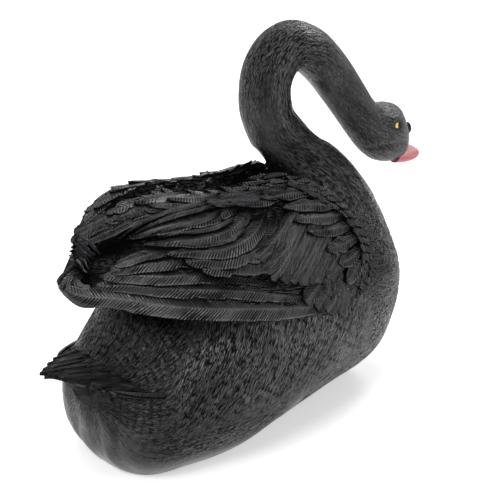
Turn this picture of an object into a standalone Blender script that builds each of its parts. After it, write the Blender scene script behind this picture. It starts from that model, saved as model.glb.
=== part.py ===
"""Swan figurine: one piece of cast resin, 0.28 m long, with a flat base to stand or float on.

The bird faces +X and is the same on both sides of Y = 0. The body, neck and head are one skin laid over
rings. Each wing is a shell over its lower edge and its ridge, with carved feathers that lie on it. Wings,
feathers, tail, bill, knob and eyes are closed shapes that sink into that skin, and all of them are then
fused into one solid. Lengths are in metres, +Z is up.
"""

import math

import bmesh
import bpy
import numpy as np

MM = 0.001

# Body, from the stern to the breast
BODY_LENGTH = 226 * MM
BODY_WIDTH = 119 * MM
BACK_HEIGHT = 119 * MM
KEEL_DEPTH = 18 * MM  # how far the round keel would reach below the flat base
BASE_TRIM = 3 * MM  # what is cut off below the base to make it flat
STERN_X = -112 * MM

# Neck and head
NECK_FOOT_ALONG = 0.63  # where the neck starts, in shares of the body's length and of the back's height
NECK_FOOT_UP = 1.31
NECK_RISE = 57 * MM  # from the foot of the neck to the middle of its bend
NECK_REACH = 82 * MM  # from the foot of the neck forward to the middle of the head
NECK_RADIUS = 14.5 * MM
BILL_LENGTH = 21 * MM  # with its root, which is inside the head
BILL_DIP = math.radians(13)
BILL_RADIUS = 6.3 * MM
BILL_FLATNESS = 0.85  # the bill's width over its height
KNOB_RADIUS = 3.8 * MM
EYE_RADIUS = 3.4 * MM
EYE_SPREAD = 8.8 * MM  # from the plane of symmetry to the middle of each eye

# Wings: each runs from the shoulder back over the rump, where the two tips meet
WING_LENGTH = 181 * MM
WING_LAP = 60 * MM  # how far the shoulder lies behind the breast
WING_DROP = 45 * MM  # from the back down to the lowest point of the wing
WING_CROWN = 35 * MM  # from the back up to the top of the ridge
WING_BULGE = 9 * MM
WING_WALL = 11 * MM
WING_SEAT = 20 * MM  # how far each wing's underside reaches into the body
WING_FREE = 0.72  # from this share of its length on, the wing stands clear of the body
VALLEY_WIDTH = 40 * MM  # between the two ridges

# Feathers: half widths by kind, and how far they stand off the wing
FEATHER_THICKNESS = 3.0 * MM
LEADING_HALF = 6.0 * MM
PRIMARY_HALF = 4.2 * MM
SECONDARY_HALF = 5.0 * MM
HOOD_HALF = 4.5 * MM
LOBE_HALF = 3.5 * MM
COVERT_HALF = 5.5 * MM
HOOK_HALF = 4.2 * MM
RIDGE_HALF = 3.8 * MM
EDGE_HALF = 3.2 * MM
LOW_LIFT = 1.0 * MM
HIGH_LIFT = 2.5 * MM

# Tail
TAIL_LENGTH = 54 * MM
TAIL_WIDTH = 76 * MM
TAIL_THICKNESS = 8 * MM
TAIL_HEIGHT = 61 * MM
TAIL_RISE = 6 * MM  # how far the fan's tip is above its root
TAIL_ROOT_ALONG = 0.14  # where the fan leaves the rump, in shares of the body's length
TAIL_FEATHERS = 4  # on each side
TAIL_FEATHER_HALF = 5.5 * MM

# Finish of the mesh
ROUND = 2.0  # the fullness of an elliptical section, where a higher value is squarer
VOXEL = 1.0 * MM
TRIANGLES = 11200


def through(rows, count):
    """A smooth curve through the rows, read at count even steps of row number."""
    return np.array([along(rows, at) for at in np.linspace(0, len(rows) - 1, count)])


def along(rows, at):
    """The smooth curve through the rows, read at one row number."""
    rows = np.asarray(rows, float)
    last = len(rows) - 1
    i = min(max(int(at), 0), last - 1)
    t = at - i
    before, start, end, after = (rows[min(max(k, 0), last)] for k in (i - 1, i, i + 1, i + 2))
    return (
        start
        + 0.5 * t * (end - before)
        + t * t * (before - 2.5 * start + 2 * end - 0.5 * after)
        + t * t * t * (1.5 * (start - end) + 0.5 * (after - before))
    )


def trunk_rows():
    """Rings from the stern to the foot of the neck: back x and z, keel x and z, half width, fullness."""
    shares = [
        # back: along, up; keel: along, up; half width; fullness of the lower half
        (0.014, 0.40, 0.010, 0.34, 0.20, 2.0),
        (0.030, 0.48, 0.013, 0.21, 0.42, 2.1),
        (0.060, 0.55, 0.036, 0.06, 0.63, 2.2),
        (0.115, 0.66, 0.090, -0.30, 0.79, 2.1),
        (0.190, 0.81, 0.190, -0.46, 0.90, 2.0),
        (0.309, 0.95, 0.335, -0.48, 1.00, 2.05),
        (0.433, 1.01, 0.480, -0.25, 0.99, 1.95),
        (0.521, 1.01, 0.620, -0.14, 0.94, 1.75),
        (0.565, 1.00, 0.750, -0.03, 0.87, 1.6),
        (0.597, 0.99, 0.860, 0.02, 0.80, 1.6),
        (0.610, 0.99, 0.930, 0.10, 0.75, 1.75),
        (0.615, 0.99, 0.973, 0.25, 0.72, 1.8),
        (0.620, 1.00, 0.985, 0.42, 0.70, 1.9),
        (0.625, 1.00, 0.975, 0.60, 0.69, 2.0),
        (0.630, 1.04, 0.936, 0.80, 0.64, 2.0),
        (0.630, 1.11, 0.888, 1.00, 0.56, 2.0),
        (0.615, 1.18, 0.838, 1.15, 0.46, 2.0),
        (0.592, 1.24, 0.778, 1.27, 0.37, 2.0),
        (0.563, 1.30, 0.716, 1.35, 0.31, 2.0),
    ]
    return [
        (
            STERN_X + BODY_LENGTH * back_x,
            BACK_HEIGHT * back_z,
            STERN_X + BODY_LENGTH * keel_x,
            keel_z * (BACK_HEIGHT if keel_z > 0 else KEEL_DEPTH),
            BODY_WIDTH / 2 * wide,
            full,
        )
        for back_x, back_z, keel_x, keel_z, wide, full in shares
    ]


def neck_place(forward, up):
    """A point in the plane of symmetry, in shares of the neck's reach and rise from its foot."""
    foot_x, foot_z = STERN_X + BODY_LENGTH * NECK_FOOT_ALONG, BACK_HEIGHT * NECK_FOOT_UP
    return foot_x + NECK_REACH * forward, foot_z + NECK_RISE * up


def neck_rows():
    """Rings along the neck and over the head, in the same form as the trunk's."""
    shares = [
        # middle: forward, up; direction in degrees; depth and width over the neck's radius
        (-0.110, 0.24, 125, 1.04, 1.02),
        (-0.165, 0.43, 107, 1.02, 1.00),
        (-0.177, 0.61, 91, 1.00, 0.98),
        (-0.155, 0.77, 70, 1.00, 0.98),
        (-0.098, 0.90, 47, 1.00, 0.98),
        (-0.018, 0.98, 23, 0.99, 0.97),
        (0.082, 1.00, -3, 0.97, 0.95),
        (0.207, 0.93, -30, 0.92, 0.91),
        (0.325, 0.79, -45, 0.90, 0.87),
        (0.446, 0.60, -50, 0.89, 0.85),
        (0.564, 0.39, -51, 0.86, 0.83),
        (0.678, 0.18, -50, 0.84, 0.82),
        (0.764, 0.05, -45, 0.91, 0.82),
        (0.861, -0.045, -38, 1.10, 0.83),
        (0.965, -0.135, -33, 1.19, 0.80),
        (1.055, -0.22, -28, 1.03, 0.69),
        (1.125, -0.28, -24, 0.75, 0.52),
        (1.170, -0.32, -22, 0.45, 0.33),
        (1.190, -0.34, -22, 0.17, 0.14),
    ]
    rows = []
    for forward, up, turn, deep, wide in shares:
        x, z = neck_place(forward, up)
        lean_x, lean_z = -math.sin(math.radians(turn)), math.cos(math.radians(turn))
        reach = NECK_RADIUS * deep
        back = (x + lean_x * reach, z + lean_z * reach)
        throat = (x - lean_x * reach, z - lean_z * reach)
        rows.append((*back, *throat, NECK_RADIUS * wide, ROUND))
    return rows


def ring_points(row, sides):
    """One ring: a rounded section between its back point and its keel point."""
    back_x, back_z, keel_x, keel_z, half, full = row
    points = []
    for k in range(sides):
        angle = 2 * math.pi * k / sides
        share = (1 + math.cos(angle)) / 2
        swell = math.sin(angle)
        if share < 0.5:
            swell = math.copysign((1 - abs(math.cos(angle)) ** full) ** (1 / full), swell) if swell else 0.0
        points.append(
            (
                keel_x + (back_x - keel_x) * share,
                half * swell,
                max(keel_z + (back_z - keel_z) * share, -BASE_TRIM),
            )
        )
    return points


def skin(name, rings):
    """A closed mesh object over rings of equally many points."""
    mesh = bmesh.new()
    loops = [[mesh.verts.new(p) for p in ring] for ring in rings]
    for low, high in zip(loops, loops[1:]):
        for k in range(len(low)):
            following = (k + 1) % len(low)
            mesh.faces.new((low[k], low[following], high[following], high[k]))
    mesh.faces.new(loops[0])
    mesh.faces.new(reversed(loops[-1]))
    bmesh.ops.recalc_face_normals(mesh, faces=mesh.faces)
    data = bpy.data.meshes.new(name)
    mesh.to_mesh(data)
    mesh.free()
    obj = bpy.data.objects.new(name, data)
    bpy.context.scene.collection.objects.link(obj)
    return obj


def make_body():
    rows = through(trunk_rows() + neck_rows(), 120)
    return skin("swan_figurine", [ring_points(row, 48) for row in rows])


def wing_rows():
    """Lower edge and ridge of the +Y wing from the shoulder to the tip, as rows of six coordinates."""
    front = STERN_X + BODY_LENGTH - WING_LAP
    spread, gap = BODY_WIDTH / 2, VALLEY_WIDTH / 2
    shares = [
        # lower edge: along, out, height; ridge: along, out, height
        (0.000, 0.810, 0.250, 0.000, 2.30, 0.340),
        (0.022, 0.840, 0.125, 0.013, 2.15, 0.440),
        (0.088, 0.875, 0.040, 0.044, 1.85, 0.560),
        (0.171, 0.910, 0.000, 0.099, 1.45, 0.680),
        (0.348, 0.975, 0.100, 0.199, 1.10, 0.770),
        (0.508, 1.000, 0.195, 0.343, 1.05, 0.830),
        (0.646, 0.960, 0.280, 0.492, 0.95, 0.910),
        (0.751, 0.840, 0.340, 0.630, 0.75, 0.960),
        (0.829, 0.655, 0.375, 0.729, 0.45, 0.975),
        (0.884, 0.420, 0.395, 0.812, 0.25, 0.960),
        (0.934, 0.200, 0.400, 0.873, 0.12, 0.940),
        (0.985, 0.050, 0.490, 0.915, 0.06, 0.850),
    ]
    bottom = BACK_HEIGHT - WING_DROP
    tall = WING_DROP + WING_CROWN
    return np.array(
        [
            (
                front - WING_LENGTH * low_x,
                spread * low_y,
                bottom + tall * low_z,
                front - WING_LENGTH * high_x,
                gap * high_y,
                bottom + tall * high_z,
            )
            for low_x, low_y, low_z, high_x, high_y, high_z in shares
        ]
    )


def wing_surface(rows):
    """The wing's outer face as a function of s, from shoulder to tip, and v, from lower edge to ridge."""
    # Hollows carved into the wing: s and v of the middle, half sizes in s and v, depth over the bulge
    hollows = [(0.80, 0.62, 0.13, 0.11, 1.0), (0.93, 0.33, 0.05, 0.12, 0.67)]

    def place(s, v):
        row = along(rows, min(max(s, 0.0), 1.0) * (len(rows) - 1))
        low, high = row[:3], row[3:]
        rise = high - low
        out = np.array((0.0, rise[2], -rise[1]))
        out = out / (np.linalg.norm(out) + 1e-9)
        swell = WING_BULGE * 4 * v * (1 - v) * min(1.0, 0.45 + 2 * s, 2.6 - 2 * s)
        for mid_s, mid_v, half_s, half_v, depth in hollows:
            apart = ((s - mid_s) / half_s) ** 2 + ((v - mid_v) / half_v) ** 2
            swell -= WING_BULGE * depth * math.exp(-apart)
        return low + rise * v + out * swell

    return place


def tail_place(s, v):
    """The tail's top face: s from the rump to the tip, v from the middle out to the side."""
    root = STERN_X + BODY_LENGTH * TAIL_ROOT_ALONG
    half = TAIL_WIDTH / 2 * math.sqrt(max(1 - (0.97 * s) ** 1.7, 0.0))
    sag = TAIL_THICKNESS * 0.25 * v * v
    reach = TAIL_LENGTH * s * (1 - 0.10 * v * v)
    return np.array((root - reach, half * v, TAIL_HEIGHT + TAIL_RISE * s * s - sag))


def normal_at(place, s, v):
    step = 0.01
    by_s = place(s + step, v) - place(s - step, v)
    by_v = place(s, v + step) - place(s, v - step)
    normal = np.cross(by_v, by_s)
    return normal / (np.linalg.norm(normal) + 1e-12)


def both_sides(name, rings):
    """A closed shape on the +Y side and its mirror image."""
    skin(name, rings)
    skin(name, [[(x, -y, z) for x, y, z in ring] for ring in rings])


def make_wings(place):
    """Each wing's shell: its outer face, and an inner side that runs down into the body."""
    rings = []
    for s in np.linspace(0, 1, 45):
        outer = [place(s, v) for v in np.linspace(0, 1, 15)]
        low, high = outer[0], outer[-1]
        wall = WING_WALL * (1 - 0.55 * s)
        depth = 1 - max(0.0, (s - WING_FREE) / (1 - WING_FREE)) ** 0.7
        root_z = high[2] - wall - (high[2] - 0.7 * BACK_HEIGHT) * depth
        inner_top = high + np.array((0.0, -min(wall * 0.4, high[1] + MM), -wall * 0.4))
        root = np.array((high[0], high[1] * 0.5 - MM, root_z))
        inner_low = low + np.array((0.0, -min(wall * 0.5 + WING_SEAT * depth, low[1] + MM), wall * 0.35))
        rings.append(outer + [inner_top, root, inner_low])
    both_sides("wing", rings)


def make_feather(place, path, half_width, root_lift, tip_lift, tilt=0.0):
    """A closed blade along a path of (s, v) places. It rises from the root lift to the tip lift."""
    outline = [  # across over the half width, and up over the thickness
        (-1.0, 0.15),
        (-0.5, 0.45),
        (0.0, 0.6),
        (0.5, 0.45),
        (1.0, 0.15),
        (0.85, -1.0),
        (-0.85, -1.0),
    ]
    rings = []
    last = len(path) - 1
    for t in np.linspace(0, 1, 9):
        s, v = along(path, t * last)
        ahead, behind = along(path, min(t + 0.03, 1) * last), along(path, max(t - 0.03, 0) * last)
        tangent = place(*ahead) - place(*behind)
        tangent = tangent / (np.linalg.norm(tangent) + 1e-12)
        up = normal_at(place, s, v)
        across = np.cross(up, tangent)
        width = half_width * max(min(1.0, 0.4 + 2.2 * t) * (1 - t**5) ** 0.5, 0.1)
        middle = place(s, v) + up * (root_lift + (tip_lift - root_lift) * t**1.5)
        ring = []
        for out, high in outline:
            ring.append(middle + across * width * out + up * (FEATHER_THICKNESS * high - tilt * width * out))
        rings.append(ring)
    both_sides("feather", rings)


def flight_feathers():
    """The long feathers: each with its path on the wing, half width, root lift, tip lift and tilt."""
    leading = [(0.22, 0.03), (0.36, 0.07), (0.50, 0.09), (0.65, 0.10), (0.81, 0.10), (0.93, 0.08), (1, 0.02)]
    primaries = [
        [(0.30, 0.15), (0.53, 0.19), (0.73, 0.22), (0.90, 0.30)],
        [(0.42, 0.26), (0.65, 0.27), (0.88, 0.38)],
        [(0.50, 0.36), (0.70, 0.35), (0.89, 0.46)],
        [(0.58, 0.44), (0.75, 0.42), (0.87, 0.52)],
    ]
    lobe = [(0.88, 0.46), (0.94, 0.52), (0.985, 0.44), (1.00, 0.26), (1.00, 0.06)]
    secondaries = [
        [(0.50, 0.93), (0.56, 0.79), (0.63, 0.70), (0.72, 0.64), (0.81, 0.66)],
        [(0.47, 0.90), (0.51, 0.75), (0.57, 0.64), (0.65, 0.56), (0.73, 0.54)],
        [(0.44, 0.86), (0.47, 0.70), (0.53, 0.58), (0.60, 0.51), (0.68, 0.46)],
        [(0.41, 0.81), (0.43, 0.65), (0.48, 0.55), (0.55, 0.48), (0.63, 0.40)],
        [(0.39, 0.77), (0.40, 0.62), (0.43, 0.51), (0.52, 0.43), (0.59, 0.38)],
    ]
    hood = [
        [(0.66, 0.76), (0.78, 0.76), (0.90, 0.76), (0.95, 0.66), (0.95, 0.58)],
        [(0.50, 0.90), (0.63, 0.83), (0.80, 0.83), (0.94, 0.82), (0.985, 0.70), (0.98, 0.60)],
        [(0.53, 0.95), (0.67, 0.91), (0.83, 0.92), (0.98, 0.90), (1.00, 0.76), (1.00, 0.64)],
        [(0.58, 1.00), (0.72, 0.99), (0.86, 1.00), (0.98, 0.99), (1.00, 0.90), (1.00, 0.78)],
    ]
    feathers = [(leading, LEADING_HALF, 0.5 * LOW_LIFT, 1.5 * LOW_LIFT, 0.25)]
    feathers += [(path, PRIMARY_HALF, 0.5 * LOW_LIFT, 1.5 * LOW_LIFT, 0.25) for path in primaries]
    feathers += [(lobe, LOBE_HALF, LOW_LIFT, HIGH_LIFT, 0.0)]
    feathers += [(path, SECONDARY_HALF, LOW_LIFT, 2.2 * LOW_LIFT, 0.22) for path in secondaries]
    feathers += [(path, HOOD_HALF, 1.5 * LOW_LIFT, HIGH_LIFT, 0.2) for path in hood]
    return feathers


def covert_feathers():
    """The short feathers of the shoulder and the ridge, in the same form."""
    coverts = [
        [(0.38, 0.68), (0.41, 0.50), (0.46, 0.37)],
        [(0.36, 0.66), (0.39, 0.46), (0.445, 0.29)],
        [(0.33, 0.62), (0.37, 0.41), (0.41, 0.22)],
        [(0.30, 0.57), (0.34, 0.36), (0.37, 0.18)],
        [(0.27, 0.50), (0.31, 0.32), (0.34, 0.14)],
        [(0.24, 0.42), (0.28, 0.24), (0.31, 0.08)],
        [(0.19, 0.30), (0.24, 0.16), (0.29, 0.06)],
    ]
    hooks = [
        [(0.26, 1.00), (0.34, 0.88), (0.41, 0.85)],
        [(0.25, 0.88), (0.33, 0.78), (0.39, 0.73)],
        [(0.23, 0.80), (0.30, 0.70), (0.36, 0.65)],
        [(0.20, 0.72), (0.26, 0.60), (0.32, 0.53)],
        [(0.18, 0.62), (0.24, 0.49), (0.29, 0.42)],
        [(0.18, 0.46), (0.22, 0.35), (0.27, 0.26)],
        [(0.34, 1.02), (0.42, 0.96), (0.49, 0.93)],
        [(0.44, 1.02), (0.51, 0.95), (0.58, 0.92)],
        [(0.53, 1.03), (0.60, 0.97), (0.67, 0.94)],
    ]
    feathers = [(path, COVERT_HALF, LOW_LIFT, 1.4 * HIGH_LIFT, 0.0) for path in coverts]
    feathers += [(path, HOOK_HALF, 1.5 * LOW_LIFT, 1.6 * HIGH_LIFT, 0.0) for path in hooks]
    for k in range(8):
        s = 0.34 + 0.065 * k
        path = [(s - 0.04, 0.98), (s, 1.01), (s + 0.05, 1.04 + 0.02 * (k % 2))]
        feathers.append((path, RIDGE_HALF, LOW_LIFT, (1.6 + 0.5 * (k % 3)) * HIGH_LIFT, 0.0))
    return feathers


def edge_feathers():
    """Two rows of small feathers along the leading edge, over the shoulder."""
    edge = [
        (0.33, 1.04),
        (0.24, 1.02),
        (0.15, 0.96),
        (0.10, 0.82),
        (0.09, 0.64),
        (0.11, 0.44),
        (0.14, 0.24),
        (0.18, 0.08),
    ]
    feathers = []
    for row in range(2):
        for k in range(9 - row):
            s, v = along(edge, (k + 0.5 * row) * (len(edge) - 1) / 8)
            s += 0.045 * row
            path = [(s - 0.02, v + 0.03), (s + 0.015, v), (s + 0.05, v - 0.04)]
            feathers.append((path, EDGE_HALF, LOW_LIFT, HIGH_LIFT, 0.0))
    return feathers


def make_wing_feathers(place):
    for feather in flight_feathers() + covert_feathers() + edge_feathers():
        make_feather(place, *feather)


def make_tail():
    """A flat fan behind the rump, with a few broad feathers to each side."""
    rings = []
    for s in np.linspace(0, 1, 12):
        top = [tail_place(s, v) for v in np.linspace(-1, 1, 13)]
        thick = np.array((0.0, 0.0, TAIL_THICKNESS * (1 - 0.55 * s)))
        under = [p - thick * (1 - 0.6 * abs(v)) for p, v in zip(top, np.linspace(-1, 1, 13))]
        rings.append(top + under[::-1])
    skin("tail", rings)
    for k in range(TAIL_FEATHERS):
        v = 0.12 + 0.25 * k
        path = [(0.10, v * 0.8), (0.55, v), (1.0 - 0.03 * k, v * 1.03)]
        half = TAIL_FEATHER_HALF * (1 - 0.07 * k)
        make_feather(tail_place, path, half, 0.3 * LOW_LIFT, 0.8 * LOW_LIFT, -0.1)


def bill_rings():
    """Round rings in the plane of symmetry, from the root inside the head to the blunt tip."""
    root_x, root_z = neck_place(1.093, -0.393)
    lean_x, lean_z = math.sin(BILL_DIP), math.cos(BILL_DIP)
    rings = []
    for share, deep in ((0.0, 1.0), (0.3, 0.97), (0.6, 0.82), (0.82, 0.60), (0.95, 0.36), (1.0, 0.12)):
        x = root_x + BILL_LENGTH * share * lean_z
        z = root_z - BILL_LENGTH * share * lean_x
        radius = BILL_RADIUS * deep
        ring = []
        for k in range(16):
            turn = 2 * math.pi * k / 16
            up = radius * math.cos(turn)
            ring.append((x + lean_x * up, BILL_FLATNESS * radius * math.sin(turn), z + lean_z * up))
        rings.append(ring)
    return rings


def ball_rings(centre, radius):
    """Rings of a ball, from just below its top to just above its lowest point."""
    x, y, z = centre
    rings = []
    for k in range(1, 8):
        wide, up = radius * math.sin(math.pi * k / 8), radius * math.cos(math.pi * k / 8)
        ring = []
        for j in range(12):
            turn = 2 * math.pi * j / 12
            ring.append((x + wide * math.cos(turn), y + wide * math.sin(turn), z + up))
        rings.append(ring)
    return rings


def make_face():
    """Bill, knob over its root, and the eyes."""
    skin("bill", bill_rings())
    knob_x, knob_z = neck_place(1.213, -0.15)
    skin("knob", ball_rings((knob_x, 0.0, knob_z), KNOB_RADIUS))
    eye_x, eye_z = neck_place(0.966, -0.02)
    both_sides("eye", ball_rings((eye_x, EYE_SPREAD, eye_z), EYE_RADIUS))


def fuse():
    """Melt all shapes into one skin, thin out its triangles and cut the base flat."""
    pieces = [o for o in bpy.data.objects if o.type == "MESH"]
    merged = bmesh.new()
    for piece in pieces:
        merged.from_mesh(piece.data)
    data = bpy.data.meshes.new("swan_figurine")
    merged.to_mesh(data)
    merged.free()
    for piece in pieces:
        bpy.data.objects.remove(piece)
    swan = bpy.data.objects.new("swan_figurine", data)
    bpy.context.scene.collection.objects.link(swan)
    melt = swan.modifiers.new("melt", "REMESH")
    melt.mode = "VOXEL"
    melt.voxel_size = VOXEL
    apply_modifiers(swan)
    return swan


def apply_modifiers(swan):
    graph = bpy.context.evaluated_depsgraph_get()
    graph.update()
    data = bpy.data.meshes.new_from_object(swan.evaluated_get(graph))
    swan.modifiers.clear()
    swan.data = data


def cut_away(mesh, point, normal, fill):
    """Cut the mesh by a plane and drop the side that the normal points away from."""
    everything = mesh.verts[:] + mesh.edges[:] + mesh.faces[:]
    bmesh.ops.bisect_plane(
        mesh, geom=everything, dist=0.02 * MM, plane_co=point, plane_no=normal, clear_inner=True
    )
    if fill:
        bmesh.ops.holes_fill(mesh, edges=[e for e in mesh.edges if e.is_boundary], sides=0)


def keep_largest(mesh):
    """Delete every shell but the one with the most points."""
    islands = []
    left = set(mesh.verts)
    while left:
        island, front = set(), [left.pop()]
        while front:
            vert = front.pop()
            island.add(vert)
            for edge in vert.link_edges:
                other = edge.other_vert(vert)
                if other in left:
                    left.discard(other)
                    front.append(other)
        islands.append(island)
    islands.sort(key=len)
    for island in islands[:-1]:
        bmesh.ops.delete(mesh, geom=list(island), context="VERTS")


def thin_half(swan):
    """Drop the -Y half and thin out the triangles of what is left."""
    mesh = bmesh.new()
    mesh.from_mesh(swan.data)
    keep_largest(mesh)
    cut_away(mesh, (0, 0, 0), (0, 1, 0), False)
    bmesh.ops.triangulate(mesh, faces=mesh.faces)
    count = len(mesh.faces)
    mesh.to_mesh(swan.data)
    mesh.free()
    thin = swan.modifiers.new("thin", "DECIMATE")
    thin.ratio = min(1.0, TRIANGLES / 2 / count)
    apply_modifiers(swan)


def complete(swan):
    """Mirror the half, cut it flat at Z = 0, and centre it over the origin along X."""
    mesh = bmesh.new()
    mesh.from_mesh(swan.data)
    for edge in mesh.edges:
        if edge.is_boundary:
            for vert in edge.verts:
                vert.co.y = 0.0
    cut_away(mesh, (0, 0, 0), (0, 0, 1), False)
    mirrored = bmesh.ops.duplicate(mesh, geom=mesh.verts[:] + mesh.edges[:] + mesh.faces[:])["geom"]
    for item in mirrored:
        if isinstance(item, bmesh.types.BMVert):
            item.co.y = -item.co.y
    bmesh.ops.reverse_faces(mesh, faces=[item for item in mirrored if isinstance(item, bmesh.types.BMFace)])
    bmesh.ops.remove_doubles(mesh, verts=mesh.verts, dist=0.05 * MM)
    bmesh.ops.holes_fill(mesh, edges=[e for e in mesh.edges if e.is_boundary], sides=0)
    keep_largest(mesh)
    bmesh.ops.dissolve_degenerate(mesh, edges=mesh.edges, dist=0.03 * MM)
    bmesh.ops.triangulate(mesh, faces=mesh.faces)
    bmesh.ops.recalc_face_normals(mesh, faces=mesh.faces)
    reach = [vert.co.x for vert in mesh.verts]
    bmesh.ops.translate(mesh, verts=mesh.verts, vec=(-(min(reach) + max(reach)) / 2, 0, 0))
    mesh.to_mesh(swan.data)
    mesh.free()


def paint(swan):
    """Satin black resin."""
    black = bpy.data.materials.new("black_resin")
    black.use_nodes = True
    shader = black.node_tree.nodes["Principled BSDF"]
    shader.inputs["Base Color"].default_value = (0.03, 0.03, 0.032, 1)
    shader.inputs["Roughness"].default_value = 0.38
    swan.data.materials.clear()
    swan.data.materials.append(black)
    swan.data.shade_smooth()


def main():
    for old in list(bpy.data.objects):
        bpy.data.objects.remove(old)
    make_body()
    wing = wing_surface(wing_rows())
    make_wings(wing)
    make_wing_feathers(wing)
    make_tail()
    make_face()
    swan = fuse()
    thin_half(swan)
    complete(swan)
    paint(swan)


main()
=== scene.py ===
"""Swan figurine: the painted plumage of a cast resin swan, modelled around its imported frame.

The bird faces +X. Its trunk, neck and wings repeat the construction of the solid at a finer pitch, and
every carved feather is a closed blade of its own with barbs, a shaft and a ragged edge. Lengths are in
metres.
"""

import math

import bpy
import numpy as np
from mathutils import Matrix, Vector


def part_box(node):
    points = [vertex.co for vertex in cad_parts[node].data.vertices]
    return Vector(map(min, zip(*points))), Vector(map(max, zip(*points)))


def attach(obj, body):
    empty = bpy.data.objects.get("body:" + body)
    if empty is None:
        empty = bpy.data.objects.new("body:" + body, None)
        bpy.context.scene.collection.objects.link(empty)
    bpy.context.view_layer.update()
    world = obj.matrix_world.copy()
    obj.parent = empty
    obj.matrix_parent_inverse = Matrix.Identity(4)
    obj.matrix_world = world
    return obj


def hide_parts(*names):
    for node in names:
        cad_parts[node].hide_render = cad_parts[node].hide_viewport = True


bl_info = {
    "name": "Swan figurine",
    "version": (1, 0, 0),
    "blender": (4, 5, 0),
    "location": "3D View > Sidebar > Swan",
    "description": "Builds the carved and painted plumage of a cast resin swan",
    "category": "Object",
}

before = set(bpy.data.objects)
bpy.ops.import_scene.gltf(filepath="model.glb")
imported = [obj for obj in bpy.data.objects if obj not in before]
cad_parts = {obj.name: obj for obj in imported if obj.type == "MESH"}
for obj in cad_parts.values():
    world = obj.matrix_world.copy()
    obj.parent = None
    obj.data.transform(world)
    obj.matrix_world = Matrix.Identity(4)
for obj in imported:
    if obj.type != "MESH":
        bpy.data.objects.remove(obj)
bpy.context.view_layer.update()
_, box_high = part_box("swan_figurine")

MM = 0.001
BODY = "root"
SOLID = "swan_figurine"

# Trunk, from the stern to the breast
BODY_LENGTH = 226 * MM
BODY_WIDTH = 119 * MM
BACK_HEIGHT = 119 * MM
KEEL_DEPTH = 18 * MM
STERN_X = -112 * MM

# Neck and head
NECK_FOOT_ALONG = 0.63
NECK_FOOT_UP = 1.31
NECK_RISE = 57 * MM
NECK_REACH = 82 * MM
NECK_RADIUS = 14.5 * MM
BILL_LENGTH = 21 * MM
BILL_DIP = math.radians(13)
BILL_RADIUS = 6.3 * MM
BILL_FLATNESS = 0.85
BILL_ROOT = (1.093, -0.393)
KNOB_RADIUS = 3.8 * MM
KNOB_PLACE = (1.195, -0.15)
KNOB_GRAIN = 0.25 * MM
EYE_PLACE = (0.966, -0.02)
EYE_SPREAD = 8.9 * MM  # from the plane of symmetry to the middle of each eye
IRIS_RADIUS = 3.1 * MM
PUPIL_RADIUS = 1.15 * MM
PUPIL_SPREAD = 10.7 * MM

# Wings
WING_LENGTH = 181 * MM
WING_LAP = 60 * MM
WING_DROP = 45 * MM
WING_CROWN = 35 * MM
WING_BULGE = 9 * MM
WING_WALL = 11 * MM
WING_SEAT = 20 * MM
WING_FREE = 0.72
NOSE_LENGTH = 24 * MM  # how far the front of each wing runs on into the breast
NOSE_RINGS = 24
WING_RINGS = 130
WING_SIDES = 60
WING_GIRTH = 70 * MM  # v from the lower edge to the ridge
TIPS_CLOSE_IN = 2.0 * MM
LEFT_TIP_FORWARD = 12.0 * MM
VALLEY_WIDTH = 40 * MM

# Tail
TAIL_LENGTH = 54 * MM
TAIL_SPREAD = 84 * MM  # between the ends of its curved sides, on the trunk
TAIL_THICKNESS = 8 * MM
TAIL_HEIGHT = 61 * MM
TAIL_RISE = 5.5 * MM
TAIL_DROOP = 3.5 * MM  # how far its sides hang at the tip, and twice as far at the root
TAIL_ROOT_ALONG = 0.14
TAIL_RINGS = 60

# Skin, cut where the row numbers say into trunk, breast, and neck with head
BREAST_START = 7.5
NECK_START = 14.0
HEAD_START = 25.5
SKIN_STEP = 0.96 * MM
SKIN_SIDES = 432
BODY_GIRTH = 58 * MM  # v for each radian round the body
NECK_GIRTH = 16 * MM
FLANK_TURN = math.radians(55)  # how steeply the strokes under the wings rise forwards
SIDE_OFFSET = 37 * MM  # keeps the strokes of one side from mirroring the other's on the breast

# Feathers
ACROSS = np.array([-1.0, -0.9, -0.74, -0.45, -0.15, 0.0, 0.15, 0.45, 0.74, 0.9, 1.0])
BARB_COMB = np.array([0.8, -1.0])  # height of the rows of points that make one barb
SHAFT_HEIGHT = 0.3 * MM
SHAFT_HALF = 0.11  # over the feather's half width, as the next two
RIM_PLACE = 0.9
RIM_HALF = 0.09

# Coat: length and width of the finest strokes, and what it depends on, which is the depth of these
# strokes, the painted light and shade over crests and grooves with a random tone, and how steep strokes run
STROKE_SIZE = (4.4 * MM, 0.8 * MM)
FLANK_STROKE_SIZE = (6.0 * MM, 0.85 * MM)
COAT_ATTRIBUTES = ("carving", "painted_light_and_tone", "lean")
STROKE_BUMP = 0.6 * MM
BARB_BUMP = 0.25 * MM
PIT_BUMP = 0.10 * MM
PITS_PER_METRE = 700.0
CLOUDS_PER_METRE = 38.0
UNCARVED = 0.75  # the height of a coat without strokes
SHARP_ANGLE = math.radians(62)

# Stage: name, place, width and height, and power of each lamp
LAMPS = [
    ("key_softbox", (-0.95, -0.35, 0.95), (0.5, 0.5), 9.0),
    ("top_softbox", (-0.05, 0.10, 1.25), (0.9, 0.9), 9.0),
    ("front_softbox", (0.35, -1.15, 0.65), (0.6, 0.6), 5.0),
    ("rim_softbox", (0.95, 0.45, 0.75), (0.5, 0.5), 6.0),
]
LAMP_AIM = (0.0, 0.0, 0.09)
FLOOR_SIZE = 12.0
FLOOR_GLOW = 0.45
STUDIO_GLOW = 0.30

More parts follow.
